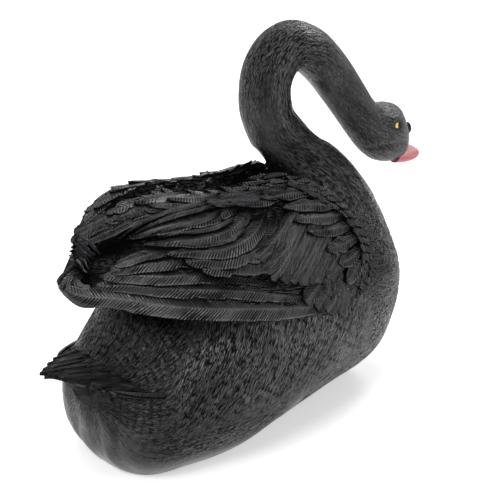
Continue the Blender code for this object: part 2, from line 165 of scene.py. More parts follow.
# The photograph's view: azimuth from +Y towards +X, elevation, focal length and the origin's pixel
VIEW_TURN = math.radians(40)
VIEW_RAISE = math.radians(22)
FOCAL_PIXELS = 1437.0
FRAME_PIXELS = 500.0
ORIGIN_PIXEL = (243.0, 408.0)
SENSOR = 36.0

MIRROR = np.array((1.0, -1.0, 1.0))


def bill_tip_x():
    """Where the construction would put the tip of the bill before it is set over the frame's box."""
    root_x = STERN_X + BODY_LENGTH * NECK_FOOT_ALONG + NECK_REACH * BILL_ROOT[0]
    return root_x + BILL_LENGTH * math.cos(BILL_DIP)


# The construction is moved along X so that the bill ends where the solid's box does
SHIFT = box_high[0] - bill_tip_x() + 0.3 * MM


class SwanPlumage(bpy.types.PropertyGroup):
    """Sizes of the carving."""

    stroke_depth: bpy.props.FloatProperty(
        name="Stroke depth",
        description="Depth of the engraved strokes on the trunk and the neck",
        default=0.3 * MM,
        min=0.0,
        subtype="DISTANCE",
        unit="LENGTH",
    )
    stroke_pitch: bpy.props.FloatProperty(
        name="Stroke pitch",
        description="Distance between neighbouring strokes",
        default=1.8 * MM,
        min=0.5 * MM,
        subtype="DISTANCE",
        unit="LENGTH",
    )
    barb_pitch: bpy.props.FloatProperty(
        name="Barb pitch",
        description="Distance between the barbs of a feather, along its shaft",
        default=1.8 * MM,
        min=0.5 * MM,
        subtype="DISTANCE",
        unit="LENGTH",
    )
    barb_depth: bpy.props.FloatProperty(
        name="Barb depth",
        description="Depth of the grooves between barbs",
        default=0.26 * MM,
        min=0.0,
        subtype="DISTANCE",
        unit="LENGTH",
    )
    feather_thickness: bpy.props.FloatProperty(
        name="Feather thickness",
        description="Height of a feather's edge over what it lies on",
        default=1.5 * MM,
        min=0.2 * MM,
        subtype="DISTANCE",
        unit="LENGTH",
    )


class SwanPaint(bpy.types.PropertyGroup):
    """Colours of the casting."""

    resin_colour: bpy.props.FloatVectorProperty(
        name="Resin",
        description="Satin black of the casting",
        default=(0.014, 0.014, 0.016),
        min=0.0,
        max=1.0,
        subtype="COLOR",
    )
    resin_roughness: bpy.props.FloatProperty(
        name="Resin roughness",
        description="Mean roughness of the black coat",
        default=0.27,
        min=0.0,
        max=1.0,
        subtype="FACTOR",
    )
    bill_colour: bpy.props.FloatVectorProperty(
        name="Bill",
        description="Red of the lower bill",
        default=(0.50, 0.08, 0.10),
        min=0.0,
        max=1.0,
        subtype="COLOR",
    )
    bill_pale: bpy.props.FloatVectorProperty(
        name="Bill, pale part",
        description="Pale pink of the upper bill towards its tip",
        default=(0.60, 0.30, 0.31),
        min=0.0,
        max=1.0,
        subtype="COLOR",
    )
    iris_colour: bpy.props.FloatVectorProperty(
        name="Iris",
        description="Yellow of the eyes",
        default=(0.83, 0.55, 0.03),
        min=0.0,
        max=1.0,
        subtype="COLOR",
    )


class SwanStage(bpy.types.PropertyGroup):
    """Floor, lamps and camera."""

    floor_colour: bpy.props.FloatVectorProperty(
        name="Floor",
        description="Colour of the floor",
        default=(0.86, 0.86, 0.86),
        min=0.0,
        max=1.0,
        subtype="COLOR",
    )
    camera_distance: bpy.props.FloatProperty(
        name="Camera distance",
        description="From the camera to the middle of what it shows",
        default=850 * MM,
        min=100 * MM,
        subtype="DISTANCE",
        unit="LENGTH",
    )


# Curves and noise


def along(rows, at):
    """The smooth curve through the rows, read at one or many row numbers."""
    rows = np.asarray(rows, float)
    last = len(rows) - 1
    at = np.asarray(at, float)
    i = np.clip(at.astype(int), 0, last - 1)
    t = (at - i)[..., None]
    before, start, end, after = (rows[np.clip(i + k, 0, last)] for k in (-1, 0, 1, 2))
    return (
        start
        + 0.5 * t * (end - before)
        + t * t * (before - 2.5 * start + 2 * end - 0.5 * after)
        + t * t * t * (1.5 * (start - end) + 0.5 * (after - before))
    )


def scatter(x, y, seed):
    """A fixed pseudo-random number from 0 to 1 for each pair of whole numbers."""
    wave = np.sin(x * 127.1 + y * 311.7 + seed * 74.7) * 43758.5453
    return wave - np.floor(wave)


def noise(x, y, seed=0):
    """Smooth noise from -1 to 1 over a plane, one cell to the unit."""
    left, low = np.floor(x), np.floor(y)
    a, b = x - left, y - low
    a, b = a * a * (3 - 2 * a), b * b * (3 - 2 * b)
    bottom = scatter(left, low, seed) * (1 - a) + scatter(left + 1, low, seed) * a
    top = scatter(left, low + 1, seed) * (1 - a) + scatter(left + 1, low + 1, seed) * a
    return 2 * (bottom * (1 - b) + top * b) - 1


def ease(value, start, end):
    """0 at start, 1 at end, and smooth between."""
    t = np.clip((value - start) / (end - start), 0, 1)
    return t * t * (3 - 2 * t)


def unit(vectors):
    """The vectors at a length of one."""
    return vectors / (np.linalg.norm(vectors, axis=-1, keepdims=True) + 1e-12)


def mm(*lengths):
    """Lengths given in millimetres, as an array in metres."""
    return np.array(lengths) * MM


def matched(s, v):
    """Both values as arrays of one shape."""
    return np.broadcast_arrays(np.asarray(s, float), np.asarray(v, float))


def strokes(u, v, pitch, seed=0):
    """Relief of engraved strokes that run along u: rounded strands with narrow grooves, from -1 to 1."""
    wander = noise(u / (6 * pitch), v / (4 * pitch), seed + 1) * 1.2 * pitch
    coarse = noise(u / (4.5 * pitch), (v + wander) / pitch, seed + 2)
    fine = noise(u / (3 * pitch), (v - wander) / (0.6 * pitch), seed + 3)
    strand = 1 - np.exp(-((coarse / 0.22) ** 2))
    return 1.3 * strand - 0.9 + 0.5 * fine


# Meshes


def make_object(name, points, faces, uv, wear):
    """A smooth-shaded mesh object. Its last argument holds its point attributes, painted light and shade
    among them, and each has a value for each point.
    """
    mesh = bpy.data.meshes.new(name)
    mesh.from_pydata(np.asarray(points).tolist(), [], faces)
    layer = mesh.uv_layers.new(name="plumage")
    corners = np.zeros(len(mesh.loops), np.int32)
    mesh.loops.foreach_get("vertex_index", corners)
    layer.data.foreach_set("uv", np.asarray(uv, np.float32)[corners].ravel())
    for key, values in zip(COAT_ATTRIBUTES, np.asarray(wear, np.float32).T):
        attribute = mesh.attributes.new(key, "FLOAT", "POINT")
        attribute.data.foreach_set("value", np.ascontiguousarray(values))
    mesh.shade_smooth()
    mesh.set_sharp_from_angle(angle=SHARP_ANGLE)
    obj = bpy.data.objects.new(name, mesh)
    bpy.context.scene.collection.objects.link(obj)
    return obj


def tube_faces(rings, sides, offset=0):
    """Faces of a closed tube whose rings each hold as many points as it has sides."""
    faces = []
    for i in range(rings - 1):
        here, there = offset + i * sides, offset + (i + 1) * sides
        faces += [
            (here + k, here + (k + 1) % sides, there + (k + 1) % sides, there + k) for k in range(sides)
        ]
    faces.append(tuple(offset + k for k in reversed(range(sides))))
    last = offset + (rings - 1) * sides
    faces.append(tuple(last + k for k in range(sides)))
    return faces


class Shapes:
    """Gathers closed tubes that become one object, each with its mirror image if it is asked for."""

    def __init__(self):
        self.points, self.faces, self.uv, self.wear, self.count = [], [], [], [], 0

    def add(self, grid, uv, mirrored=False, wear=None):
        """grid holds rings of points as (rings, sides, 3). uv and the point attributes, painted light and
        shade among them, hold values for the same points.
        """
        if wear is None:
            wear = np.broadcast_to(np.array((1.0, 0.7, 0.0)), grid.shape)
        if not facing_out(grid):
            grid, uv, wear = grid[:, ::-1], uv[:, ::-1], wear[:, ::-1]
        rings, sides = grid.shape[:2]
        points = grid.reshape(-1, 3).copy()
        faces = tube_faces(rings, sides, self.count)
        if mirrored:
            points[:, 1] *= -1
            faces = [face[::-1] for face in faces]
        self.points.append(points)
        self.faces += faces
        self.uv.append(uv.reshape(-1, 2))
        self.wear.append(wear.reshape(-1, len(COAT_ATTRIBUTES)))
        self.count += len(points)

    def add_wings(self, grid, uv, wear):
        """Adds a part of the +Y wing and its mirror image, whose tip lies further back."""
        self.add(grid, uv, True, wear)
        self.add(left_wing(grid), uv, False, wear)

    def build(self, name):
        """The gathered tubes as one mesh object."""
        joined = [np.concatenate(parts) for parts in (self.points, self.uv, self.wear)]
        return make_object(name, joined[0], self.faces, joined[1], joined[2])


def facing_out(grid):
    """Whether the tube's faces point outwards with its sides in this order."""
    middle = grid.mean(axis=1)
    i = len(grid) // 2
    ring, following = grid[i], np.roll(grid[i], -1, axis=0)
    normal = np.cross(following - ring, grid[i + 1] - ring)
    return (normal * (ring - middle[i])).sum() > 0


def finish_piece(obj, material):
    """Paints the piece and ties it to the frame."""
    obj.data.materials.clear()
    obj.data.materials.append(material)
    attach(obj, BODY)
    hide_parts(SOLID)
    return obj


# Form of the trunk and the neck


def neck_place(forward, up):
    """A point in the plane of symmetry, in shares of the neck's reach and rise from its foot."""
    foot_x, foot_z = STERN_X + BODY_LENGTH * NECK_FOOT_ALONG, BACK_HEIGHT * NECK_FOOT_UP
    return foot_x + NECK_REACH * forward + SHIFT, foot_z + NECK_RISE * up


def neck_point(forward, up, *offset):
    """The same point in space, moved by an offset in millimetres."""
    x, z = neck_place(forward, up)
    return np.array((x, 0.0, z)) + mm(*offset)


def trunk_rows():
    """Rings from the stern to the foot of the neck: back x and z, keel x and z, half width, fullness."""
    shares = [
        # back: along, up; keel: along, up; half width; fullness of the lower half
        (0.014, 0.40, 0.010, 0.34, 0.20, 2.0),
        (0.030, 0.48, 0.013, 0.21, 0.41, 2.1),
        (0.060, 0.55, 0.038, 0.06, 0.61, 2.2),
        (0.115, 0.66, 0.100, -0.30, 0.78, 2.15),
        (0.190, 0.81, 0.200, -0.46, 0.90, 2.15),
        (0.309, 0.95, 0.335, -0.48, 1.00, 2.12),
        (0.433, 1.01, 0.480, -0.25, 0.99, 1.92),
        (0.521, 1.01, 0.620, -0.14, 0.94, 1.68),
        (0.565, 1.00, 0.745, -0.03, 0.87, 1.55),
        (0.597, 0.99, 0.853, 0.02, 0.80, 1.52),
        (0.610, 0.99, 0.923, 0.10, 0.75, 1.65),
        (0.615, 0.99, 0.970, 0.25, 0.72, 1.72),
        (0.620, 1.00, 0.985, 0.42, 0.70, 1.9),
        (0.625, 1.00, 0.975, 0.60, 0.69, 2.0),
        (0.630, 1.04, 0.936, 0.80, 0.64, 2.0),
        (0.630, 1.11, 0.888, 1.00, 0.56, 2.0),
        (0.615, 1.18, 0.838, 1.15, 0.46, 2.0),
        (0.592, 1.24, 0.778, 1.27, 0.37, 2.0),
        (0.563, 1.30, 0.716, 1.35, 0.31, 2.0),
    ]
    return [
        (
            STERN_X + BODY_LENGTH * back_x + SHIFT,
            BACK_HEIGHT * back_z,
            STERN_X + BODY_LENGTH * keel_x + SHIFT,
            keel_z * (BACK_HEIGHT if keel_z > 0 else KEEL_DEPTH),
            BODY_WIDTH / 2 * wide,
            full,
        )
        for back_x, back_z, keel_x, keel_z, wide, full in shares
    ]


def neck_rows():
    """Rings along the neck and over the head, in the same form as the trunk's."""
    shares = [
        # middle: forward, up; direction in degrees; depth and width over the neck's radius
        (-0.110, 0.24, 125, 1.04, 1.02),
        (-0.165, 0.43, 107, 1.02, 1.00),
        (-0.177, 0.61, 91, 1.00, 0.98),
        (-0.155, 0.77, 70, 1.00, 0.98),
        (-0.098, 0.90, 47, 1.00, 0.98),
        (-0.018, 0.98, 23, 0.99, 0.97),
        (0.082, 1.00, -3, 0.97, 0.95),
        (0.207, 0.93, -30, 0.92, 0.91),
        (0.325, 0.79, -45, 0.90, 0.87),
        (0.446, 0.60, -50, 0.89, 0.85),
        (0.564, 0.39, -51, 0.86, 0.83),
        (0.678, 0.18, -50, 0.84, 0.82),
        (0.764, 0.05, -45, 0.91, 0.82),
        (0.861, -0.045, -38, 1.10, 0.83),
        (0.965, -0.135, -33, 1.19, 0.80),
        (1.055, -0.22, -28, 1.03, 0.69),
        (1.125, -0.28, -24, 0.75, 0.52),
        (1.170, -0.32, -22, 0.45, 0.33),
        (1.190, -0.34, -22, 0.17, 0.14),
    ]
    rows = []
    for forward, up, turn, deep, wide in shares:
        x, z = neck_place(forward, up)
        lean_x, lean_z = -math.sin(math.radians(turn)), math.cos(math.radians(turn))
        reach = NECK_RADIUS * deep
        back = (x + lean_x * reach, z + lean_z * reach)
        keel = (x - lean_x * reach, z - lean_z * reach)
        rows.append((*back, *keel, NECK_RADIUS * wide, 2.0))
    return rows


def ring_grid(rows, sides):
    """Rounded sections between their back points and their keel points, as (rings, sides, 3)."""
    back_x, back_z, keel_x, keel_z, half, full = np.asarray(rows).T[..., None]
    angle = 2 * math.pi * np.arange(sides) / sides
    share = (1 + np.cos(angle)) / 2
    swell = np.sin(angle) * np.ones_like(half)
    lower = (1 - np.abs(np.cos(angle)) ** full).clip(0) ** (1 / full) * np.sign(np.sin(angle))
    swell = np.where(share < 0.5, lower, swell)
    return np.stack(
        [
            keel_x + (back_x - keel_x) * share,
            half * swell,
            np.maximum(keel_z + (back_z - keel_z) * share, 0.0),
        ],
        axis=-1,
    )


def even_rows(first, last, step):
    """The skin's rows between two row numbers, so close that no flow line is cut coarser than the step."""
    rows = trunk_rows() + neck_rows()
    samples, sides = 1500, 24
    fine = np.linspace(first, last, samples)
    grid = ring_grid(along(rows, fine), sides)
    moved = np.linalg.norm(np.diff(grid, axis=0), axis=-1).max(axis=1)
    travel = np.concatenate([[0.0], np.cumsum(moved)])
    count = int(travel[-1] / step) + 2
    return np.interp(np.linspace(0, travel[-1], count), travel, fine)


def skin_lengths(grid, places):
    """u along each flow line from the stern, and v from the back line down each side at a fixed scale.

    Flow lines keep their angle round the body, so strokes along u gather at the tail. The scale of v falls
    from the breast to the neck, and the strokes turn across the breast there.
    """
    steps = np.linalg.norm(np.diff(grid, axis=0), axis=-1)
    u = np.concatenate([np.zeros((1, grid.shape[1])), np.cumsum(steps, axis=0)])
    sides = np.arange(grid.shape[1])
    angle = 2 * math.pi / grid.shape[1] * np.minimum(sides, grid.shape[1] - sides)
    girth = BODY_GIRTH + (NECK_GIRTH - BODY_GIRTH) * ease(places, 9.5, 15.0)
    u = u + SIDE_OFFSET * (sides > grid.shape[1] / 2)
    return u, girth[:, None] * angle[None, :]


def grid_normals(grid):
    """Outward unit normals of rings of points."""
    by_ring = np.gradient(grid, axis=0)
    by_side = np.roll(grid, -1, axis=1) - np.roll(grid, 1, axis=1)
    normals = unit(np.cross(by_side, by_ring))
    middle = grid.mean(axis=1, keepdims=True)
    turn = np.sign((normals * (grid - middle)).sum(axis=(1, 2)))
    return normals * turn[:, None, None]


def near(points, place, sizes):
    """How near points are to a place: 1 there, falling off over sizes in millimetres along each axis."""
    return np.exp(-(((points - place) / mm(*sizes)) ** 2).sum(axis=-1))


def bumps(grid, rows):
    """Swellings and pits on both sides of the body, from rows of height, place and sizes."""
    sides = (grid, grid * MIRROR)
    return sum(height * near(points, place, sizes) for points in sides for height, place, sizes in rows)


# Form of the wings


def wing_rows():
    """Lower edge and ridge of the +Y wing from the shoulder to the tip, as rows of six coordinates."""
    front = STERN_X + BODY_LENGTH - WING_LAP + SHIFT
    spread, gap = BODY_WIDTH / 2, VALLEY_WIDTH / 2
    shares = [
        # lower edge: along, out, height; ridge: along, out, height
        (0.000, 0.810, 0.250, 0.000, 2.30, 0.340),
        (0.022, 0.840, 0.125, 0.013, 2.15, 0.440),
        (0.088, 0.875, 0.040, 0.040, 1.75, 0.620),
        (0.171, 0.910, 0.000, 0.090, 1.25, 0.760),
        (0.348, 0.975, 0.100, 0.199, 0.82, 0.840),
        (0.508, 1.000, 0.195, 0.343, 0.68, 0.865),
        (0.646, 0.960, 0.280, 0.492, 0.60, 0.895),
        (0.751, 0.840, 0.340, 0.630, 0.48, 0.945),
        (0.829, 0.655, 0.375, 0.729, 0.34, 0.940),
        (0.884, 0.420, 0.395, 0.812, 0.22, 0.875),
        (0.934, 0.200, 0.400, 0.873, 0.12, 0.825),
        (0.968, 0.050, 0.490, 0.905, 0.06, 0.770),
    ]
    low_x, low_y, low_z, high_x, high_y, high_z = np.array(shares).T
    bottom = BACK_HEIGHT - WING_DROP
    tall = WING_DROP + WING_CROWN
    return np.stack(
        [
            front - WING_LENGTH * low_x,
            spread * low_y,
            bottom + tall * low_z,
            front - WING_LENGTH * high_x,
            gap * high_y,
            bottom + tall * high_z,
        ],
        axis=1,
    )


WING_ROWS = wing_rows()
HOLLOWS = [
    # carved into the wing: s and v of the middle, half sizes in s and v, depth over the bulge
    (0.80, 0.62, 0.13, 0.11, 1.05),
    (0.93, 0.33, 0.05, 0.12, 0.75),
]


def hollow_shares(s, v):
    """For each hollow, its depth over the bulge, and how near its middle is: 1 there, and 0 far away."""
    for mid_s, mid_v, half_s, half_v, depth in HOLLOWS:
        yield depth, np.exp(-(((s - mid_s) / half_s) ** 2 + ((v - mid_v) / half_v) ** 2))


def wing_place(s, v):
    """The wing's outer face at s, from shoulder to tip, and v, from lower edge to ridge."""
    s, v = matched(s, v)
    row = along(WING_ROWS, np.clip(s, 0, 1) * (len(WING_ROWS) - 1))
    low, high = row[..., :3], row[..., 3:]
    rise = high - low
    out = unit(np.stack([0 * rise[..., 0], rise[..., 2], -rise[..., 1]], axis=-1))
    swell = WING_BULGE * 4 * v * (1 - v) * np.minimum(1.0, np.minimum(0.45 + 2 * s, 2.6 - 2 * s))
    for depth, share in hollow_shares(s, v):
        swell = swell - WING_BULGE * depth * share
    face = low + rise * v[..., None] + out * swell[..., None]
    face[..., 0] -= WING_LENGTH * np.maximum(s - 1, 0)
    face[..., 1] -= TIPS_CLOSE_IN * ease(s, 0.55, 0.95)
    return face


def tail_place(s, v):
    """The tail's top face: s from the rump to the tip, v from the middle out to the side."""
    s, v = matched(s, v)
    root = STERN_X + BODY_LENGTH * TAIL_ROOT_ALONG + SHIFT
    half = TAIL_SPREAD / 2 * (1 - s.clip(0, 1) ** 1.6).clip(0.02) ** 0.9
    bulge = 1.2 * MM * ease(s, 0.02, 0.12) * (1 - ease(s, 0.5, 0.8))
    half = half * (0.78 + 0.22 * ease(s, 0.0, 0.12)) + bulge
    reach = TAIL_LENGTH * s * (1 - 0.10 * v * v)
    height = TAIL_HEIGHT + TAIL_RISE * s * s - TAIL_DROOP * v * v * (2 - s)
    return np.stack([root - reach, -half * v, height], axis=-1)


def fan_place(s, v):
    """The tail's top face as tail_place has it, with v along feathers that spread like a fan."""
    face = tail_place(s, v)
    s, v = matched(s, v)
    face[..., 1] = -TAIL_SPREAD / 2 * v * (1 - 0.58 * s)
    return face


def valley_place(s, w):
    """The wing's inner face: s from shoulder to tip, and w from the ridge down into the valley."""
    s, w = matched(s, w)
    row = along(WING_ROWS, np.clip(s, 0, 1) * (len(WING_ROWS) - 1))
    high = row[..., 3:]
    root = valley_root(s, high)
    return high + (root - high) * w[..., None]


def wing_section(s):
    """The wing's wall at s, and its depth in the body: 1, and from WING_FREE on down to 0 at the tip."""
    return WING_WALL * (1 - 0.55 * s), 1 - (np.maximum(0.0, (s - WING_FREE) / (1 - WING_FREE)) ** 0.7)


def valley_root(s, high):
    """Where the wing's inner face meets the back, under each point of the ridge."""
    wall, depth = wing_section(s)
    drop = wall * (0.5 + 0.5 * ease(s, 0.0, 0.2))
    drop = drop + (high[..., 2] - 0.7 * BACK_HEIGHT) * depth * ease(s, 0.1, 0.34)
    return np.stack([high[..., 0], high[..., 1] * 0.5 - MM, high[..., 2] - drop], axis=-1)


def face_normal(place, s, v):
    """Outward unit normals of a face that place describes."""
    step = 0.01
    by_s = place(s + step, v) - place(s - step, v)
    by_v = place(s, v + step) - place(s, v - step)
    return unit(np.cross(by_s, by_v))


# Feathers


class Feather:
    """One carved feather: a path over a face, and how it is cut."""

    def __init__(self, path, half, lifts, tilt=0.0, crown=0.5, slant=1.0, ragged=0.08, sharp=5.0,
                 barbs=1.0, edge=1.0, painted_light_gain=1.0):
        self.path = path  # places (s, v) from root to tip
        self.half = half * MM  # half width, given in millimetres
        self.lifts = mm(*lifts)  # height over the face at the root and at the tip, given in millimetres
        self.tilt = tilt  # how much the edge at the left of the path is lower, over the half width
        self.crown = crown  # how much the middle stands over the edges, in thicknesses
        self.slant = slant  # how far a barb runs along the shaft for each step across
        self.ragged = ragged  # how uneven the edge is, over the half width
        self.sharp = sharp  # a higher value gives a blunter tip
        self.barbs = barbs  # depth of its barbs over the usual depth
        self.edge = edge  # how much its rim stands out, with a painted highlight on it and painted shade along the outer edge, 0 to 1
        self.painted_light_gain = painted_light_gain  # how much its painted light and shade and its tone are lifted over the usual


def feather_grid(place, feather, number, plumage):
    """Rings of one feather, their UV places, and their point attributes with painted light and shade. They
    are chevrons, and two rows make a barb.
    """
    samples = 60
    s, v = along(feather.path, np.linspace(0, len(feather.path) - 1, samples)).T
    spine = place(s, v)
    length = np.concatenate([[0.0], np.cumsum(np.linalg.norm(np.diff(spine, axis=0), axis=-1))])
    tangent = unit(np.gradient(spine, axis=0))
    up = face_normal(place, s, v)
    side = unit(np.cross(up, tangent))

    step = plumage.barb_pitch / len(BARB_COMB)
    rows = max(int(length[-1] / step), 12)
    at = np.linspace(0, length[-1], rows + 1)
    t = at / length[-1]
    point = 0.5 if feather.sharp > 3.5 else 0.9
    root = np.minimum(1.0, 0.85 - 0.4 * feather.edge + 1.8 * t)
    width = feather.half * root * (1 - t**feather.sharp).clip(0.003) ** point
    barb = np.floor(np.arange(rows + 1) / len(BARB_COMB))
    a = ACROSS[None, :]
    out = a * width[:, None]
    for flank, seed in ((-1, 13), (1, 14)):
        uneven = noise(barb / 2.3, 0 * t + 7.7 * number, seed)
        torn = scatter(np.floor(barb / 5), number + 0 * t, seed) > 0.75
        trim = feather.ragged * (uneven - 2.0 * torn * ((barb % 5) / 4))
        out = out * np.where(a * flank > 0, 1 + trim[:, None] * np.abs(a) ** 2, 1)
    at = at[:, None]
    reach = np.minimum(at + feather.slant * np.abs(out), length[-1] + 0.25 * (at - length[-1]))

    def read(values):
        return np.stack([np.interp(reach, length, values[:, k]) for k in range(3)], axis=-1)

    base, across, lift_by = read(spine), unit(read(side)), unit(read(up))
    share = np.clip(reach / length[-1], 0, 1)
    thick = plumage.feather_thickness
    root_lift, tip_lift = feather.lifts
    rise = root_lift + (tip_lift - root_lift) * share**1.5
    lean = -feather.tilt * width[:, None] * a
    comb = BARB_COMB[np.arange(rows + 1) % len(BARB_COMB)][:, None]
    worn = 0.65 + 0.75 * noise(at / (7 * MM), out / (4 * MM) + 7.3 * number, 15)
    fade = np.minimum(1, 5 * np.abs(a)) * ease(1 - t, 0, 0.05)[:, None]
    height = rise + lean + thick * feather.crown * (1 - a**2)
    height = height + plumage.barb_depth * feather.barbs * comb * worn * fade
    # Painted light and shade: lighter on the barbs' crests and darker in their grooves, varied by the random
    # worn value.
    painted_light_and_tone = 0.52 + 0.68 * comb * worn.clip(0.15, 1.2) * fade * feather.barbs**0.5
    # Splits between barbs: cut into the feather, with painted shade in them.
    for flank, seed in ((-1, 17), (1, 18)):
        parted = (scatter(barb, number + 0 * t, seed) > 0.955)[:, None] * ease(a * flank, 0.2, 0.6)
        height = height - 0.4 * MM * parted
        painted_light_and_tone = painted_light_and_tone * (1 - 0.45 * parted)
    rim = feather.edge * np.exp(-(((np.abs(a) - RIM_PLACE) / RIM_HALF) ** 2))
    shaft = np.exp(-((a / SHAFT_HALF) ** 2))
    # Painted highlights along the rim and the shaft.
    painted_light_and_tone = painted_light_and_tone + 0.45 * rim + 0.3 * shaft
    painted_light_and_tone = painted_light_and_tone * (0.9 + 0.35 * noise(at / (13 * MM), out / (6 * MM) + 5.1 * number, 19))
    # Painted shade over the root, which lies under other feathers.
    painted_light_and_tone = painted_light_and_tone * (0.25 + 0.75 * ease(share, 0.0, 0.25))
    # Painted shade along the outermost edge, under the rim.
    painted_light_and_tone = painted_light_and_tone * np.where(np.abs(a) > 0.99, 0.6 - 0.55 * feather.edge, 1.0)
    height = height + SHAFT_HEIGHT * shaft * (1 - t[:, None] ** 3)
    height = height + 0.35 * MM * rim
    height = height + 0.5 * MM * noise(at / (9 * MM), a * 1.3 + 3.1 * number, 16)
    top = base + across * out[..., None] + lift_by * height[..., None]

    pick = [-2, 1]  # the columns over the two lower edges
    under_out = out[:, pick]
    under = (rise + lean)[:, pick] - (0.8 + 1.2 * feather.crown) * thick
    low = base[:, pick] + across[:, pick] * under_out[..., None] + lift_by[:, pick] * under[..., None]
    grid = np.concatenate([top, low], axis=1)
    u = np.concatenate([out, under_out], axis=1) + number * 17.3 * MM
    uv = np.stack([u, np.arange(rows + 1)[:, None] * step + 0 * u], axis=-1)
    # Painted shade on the underside; the painted light gain scales all of it.
    painted_light_and_tone = np.concatenate([painted_light_and_tone, np.full(under_out.shape, 0.35)], axis=1) * feather.painted_light_gain
    wear = np.stack([np.full(painted_light_and_tone.shape, min(feather.barbs, 1.0)), painted_light_and_tone.clip(0, 1.6), 0 * painted_light_and_tone], axis=-1)
    return grid, uv, wear


def lay_feathers(scene, name, place, feathers, wing=True):
    """All the feathers of one kind as one painted piece. Those of a wing lie on both wings."""
    shapes = Shapes()
    for number, feather in enumerate(feathers):
        grid, uv, wear = feather_grid(place, feather, number, scene.swan_plumage)
        if wing:
            shapes.add_wings(grid, uv, wear)
        else:
            shapes.add(grid, uv, False, wear)
    finish_piece(shapes.build(name), feather_resin(scene.swan_paint))


def left_wing(points):
    """The points of the +Y wing, whose tip lies a little further forward than the other's."""
    moved = points.copy()
    shift = LEFT_TIP_FORWARD * ease(-points[..., 0], 45 * MM, 115 * MM)
    moved[..., 0] += shift * (1 - ease(points[..., 2], 128 * MM, 146 * MM))
    return moved


def jitter(number, seed, size):
    """A fixed small change for one of many like feathers."""
    return (2 * float(scatter(np.float64(number), np.float64(seed), 5)) - 1) * size


def primary_feathers():
    """Long feathers from the wrist to the tip, the lowest one widest."""
    paths = [
        ([(0.56, 0.49), (0.64, 0.495), (0.736, 0.45), (0.816, 0.41)], 4.6),
        ([(0.50, 0.37), (0.576, 0.425), (0.696, 0.385), (0.832, 0.36)], 5.0),
        ([(0.42, 0.225), (0.544, 0.30), (0.696, 0.275), (0.852, 0.31)], 5.2),
        ([(0.33, 0.12), (0.444, 0.165), (0.52, 0.19), (0.672, 0.185), (0.76, 0.195), (0.87, 0.215)], 5.0),
    ]
    lowest = [(0.22, 0.07), (0.31, 0.075), (0.372, 0.065), (0.508, 0.07)]
    lowest += [(0.644, 0.065), (0.796, 0.08), (0.904, 0.09), (0.975, 0.06)]
    return [
        Feather(path, half, (-0.8, 2.4), 0.42, 0.6, 1.0, 0.07, barbs=1.3, painted_light_gain=1.25) for path, half in paths
    ] + [Feather(lowest, 6.6, (-0.8, 2.8), 0.30, 0.7, 1.0, 0.04, 7.0, barbs=1.4, painted_light_gain=1.35)]


def lobe_feathers():
    """Curled feathers round the hollow at the wing's lower end."""
    paths = [
        [(0.940, 0.44), (0.985, 0.37), (1.012, 0.16), (0.992, -0.02), (0.92, -0.03), (0.852, 0.0)],
        [(0.930, 0.43), (0.968, 0.33), (0.990, 0.17), (0.955, 0.045), (0.905, 0.05), (0.856, 0.06)],
        [(0.915, 0.40), (0.945, 0.29), (0.955, 0.17), (0.93, 0.11), (0.88, 0.12)],
        [(0.904, 0.37), (0.935, 0.30), (0.947, 0.2), (0.924, 0.17), (0.888, 0.185)],
    ]
    return [
        Feather(path, 2.1, (0.8, 2.4 - 0.3 * k), 0.3, 0.8, 1.6, 0.1, barbs=0.7, edge=0.8, painted_light_gain=1.5)
        for k, path in enumerate(paths)
    ]


def secondary_feathers():
    """Crescents that sweep from under the shoulder back over the primaries."""
    paths = [
        [(0.49, 0.86), (0.545, 0.755), (0.62, 0.71), (0.70, 0.70), (0.775, 0.71)],
        [(0.472, 0.795), (0.508, 0.665), (0.568, 0.575), (0.64, 0.535), (0.725, 0.525)],
        [(0.44, 0.745), (0.472, 0.595), (0.528, 0.49), (0.60, 0.455), (0.685, 0.435)],
        [(0.416, 0.70), (0.436, 0.56), (0.48, 0.45), (0.548, 0.405), (0.635, 0.375)],
        [(0.396, 0.655), (0.408, 0.525), (0.436, 0.42), (0.475, 0.37), (0.535, 0.345), (0.60, 0.32)],
    ]
    group = [
        Feather(path, 6.2 + 0.2 * k, (1.4, 2.6 + 0.5 * k), 0.3, 0.6, 0.8, 0.12, 2.6 + 0.4 * k)
        for k, path in enumerate(paths)
    ]
    strands = [
        [(0.56, 0.875), (0.66, 0.80), (0.80, 0.745)],
        [(0.55, 0.84), (0.64, 0.765), (0.755, 0.725)],
        [(0.535, 0.78), (0.60, 0.70), (0.72, 0.655)],
        [(0.51, 0.72), (0.575, 0.635), (0.68, 0.595)],
        [(0.49, 0.64), (0.545, 0.53), (0.65, 0.495)],
    ]
    return group + [
        Feather(path, 2.0, (3.0, 3.4), 0.2, 0.9, 1.6, 0.15, 2.0, edge=0.6, painted_light_gain=1.3) for path in strands
    ]


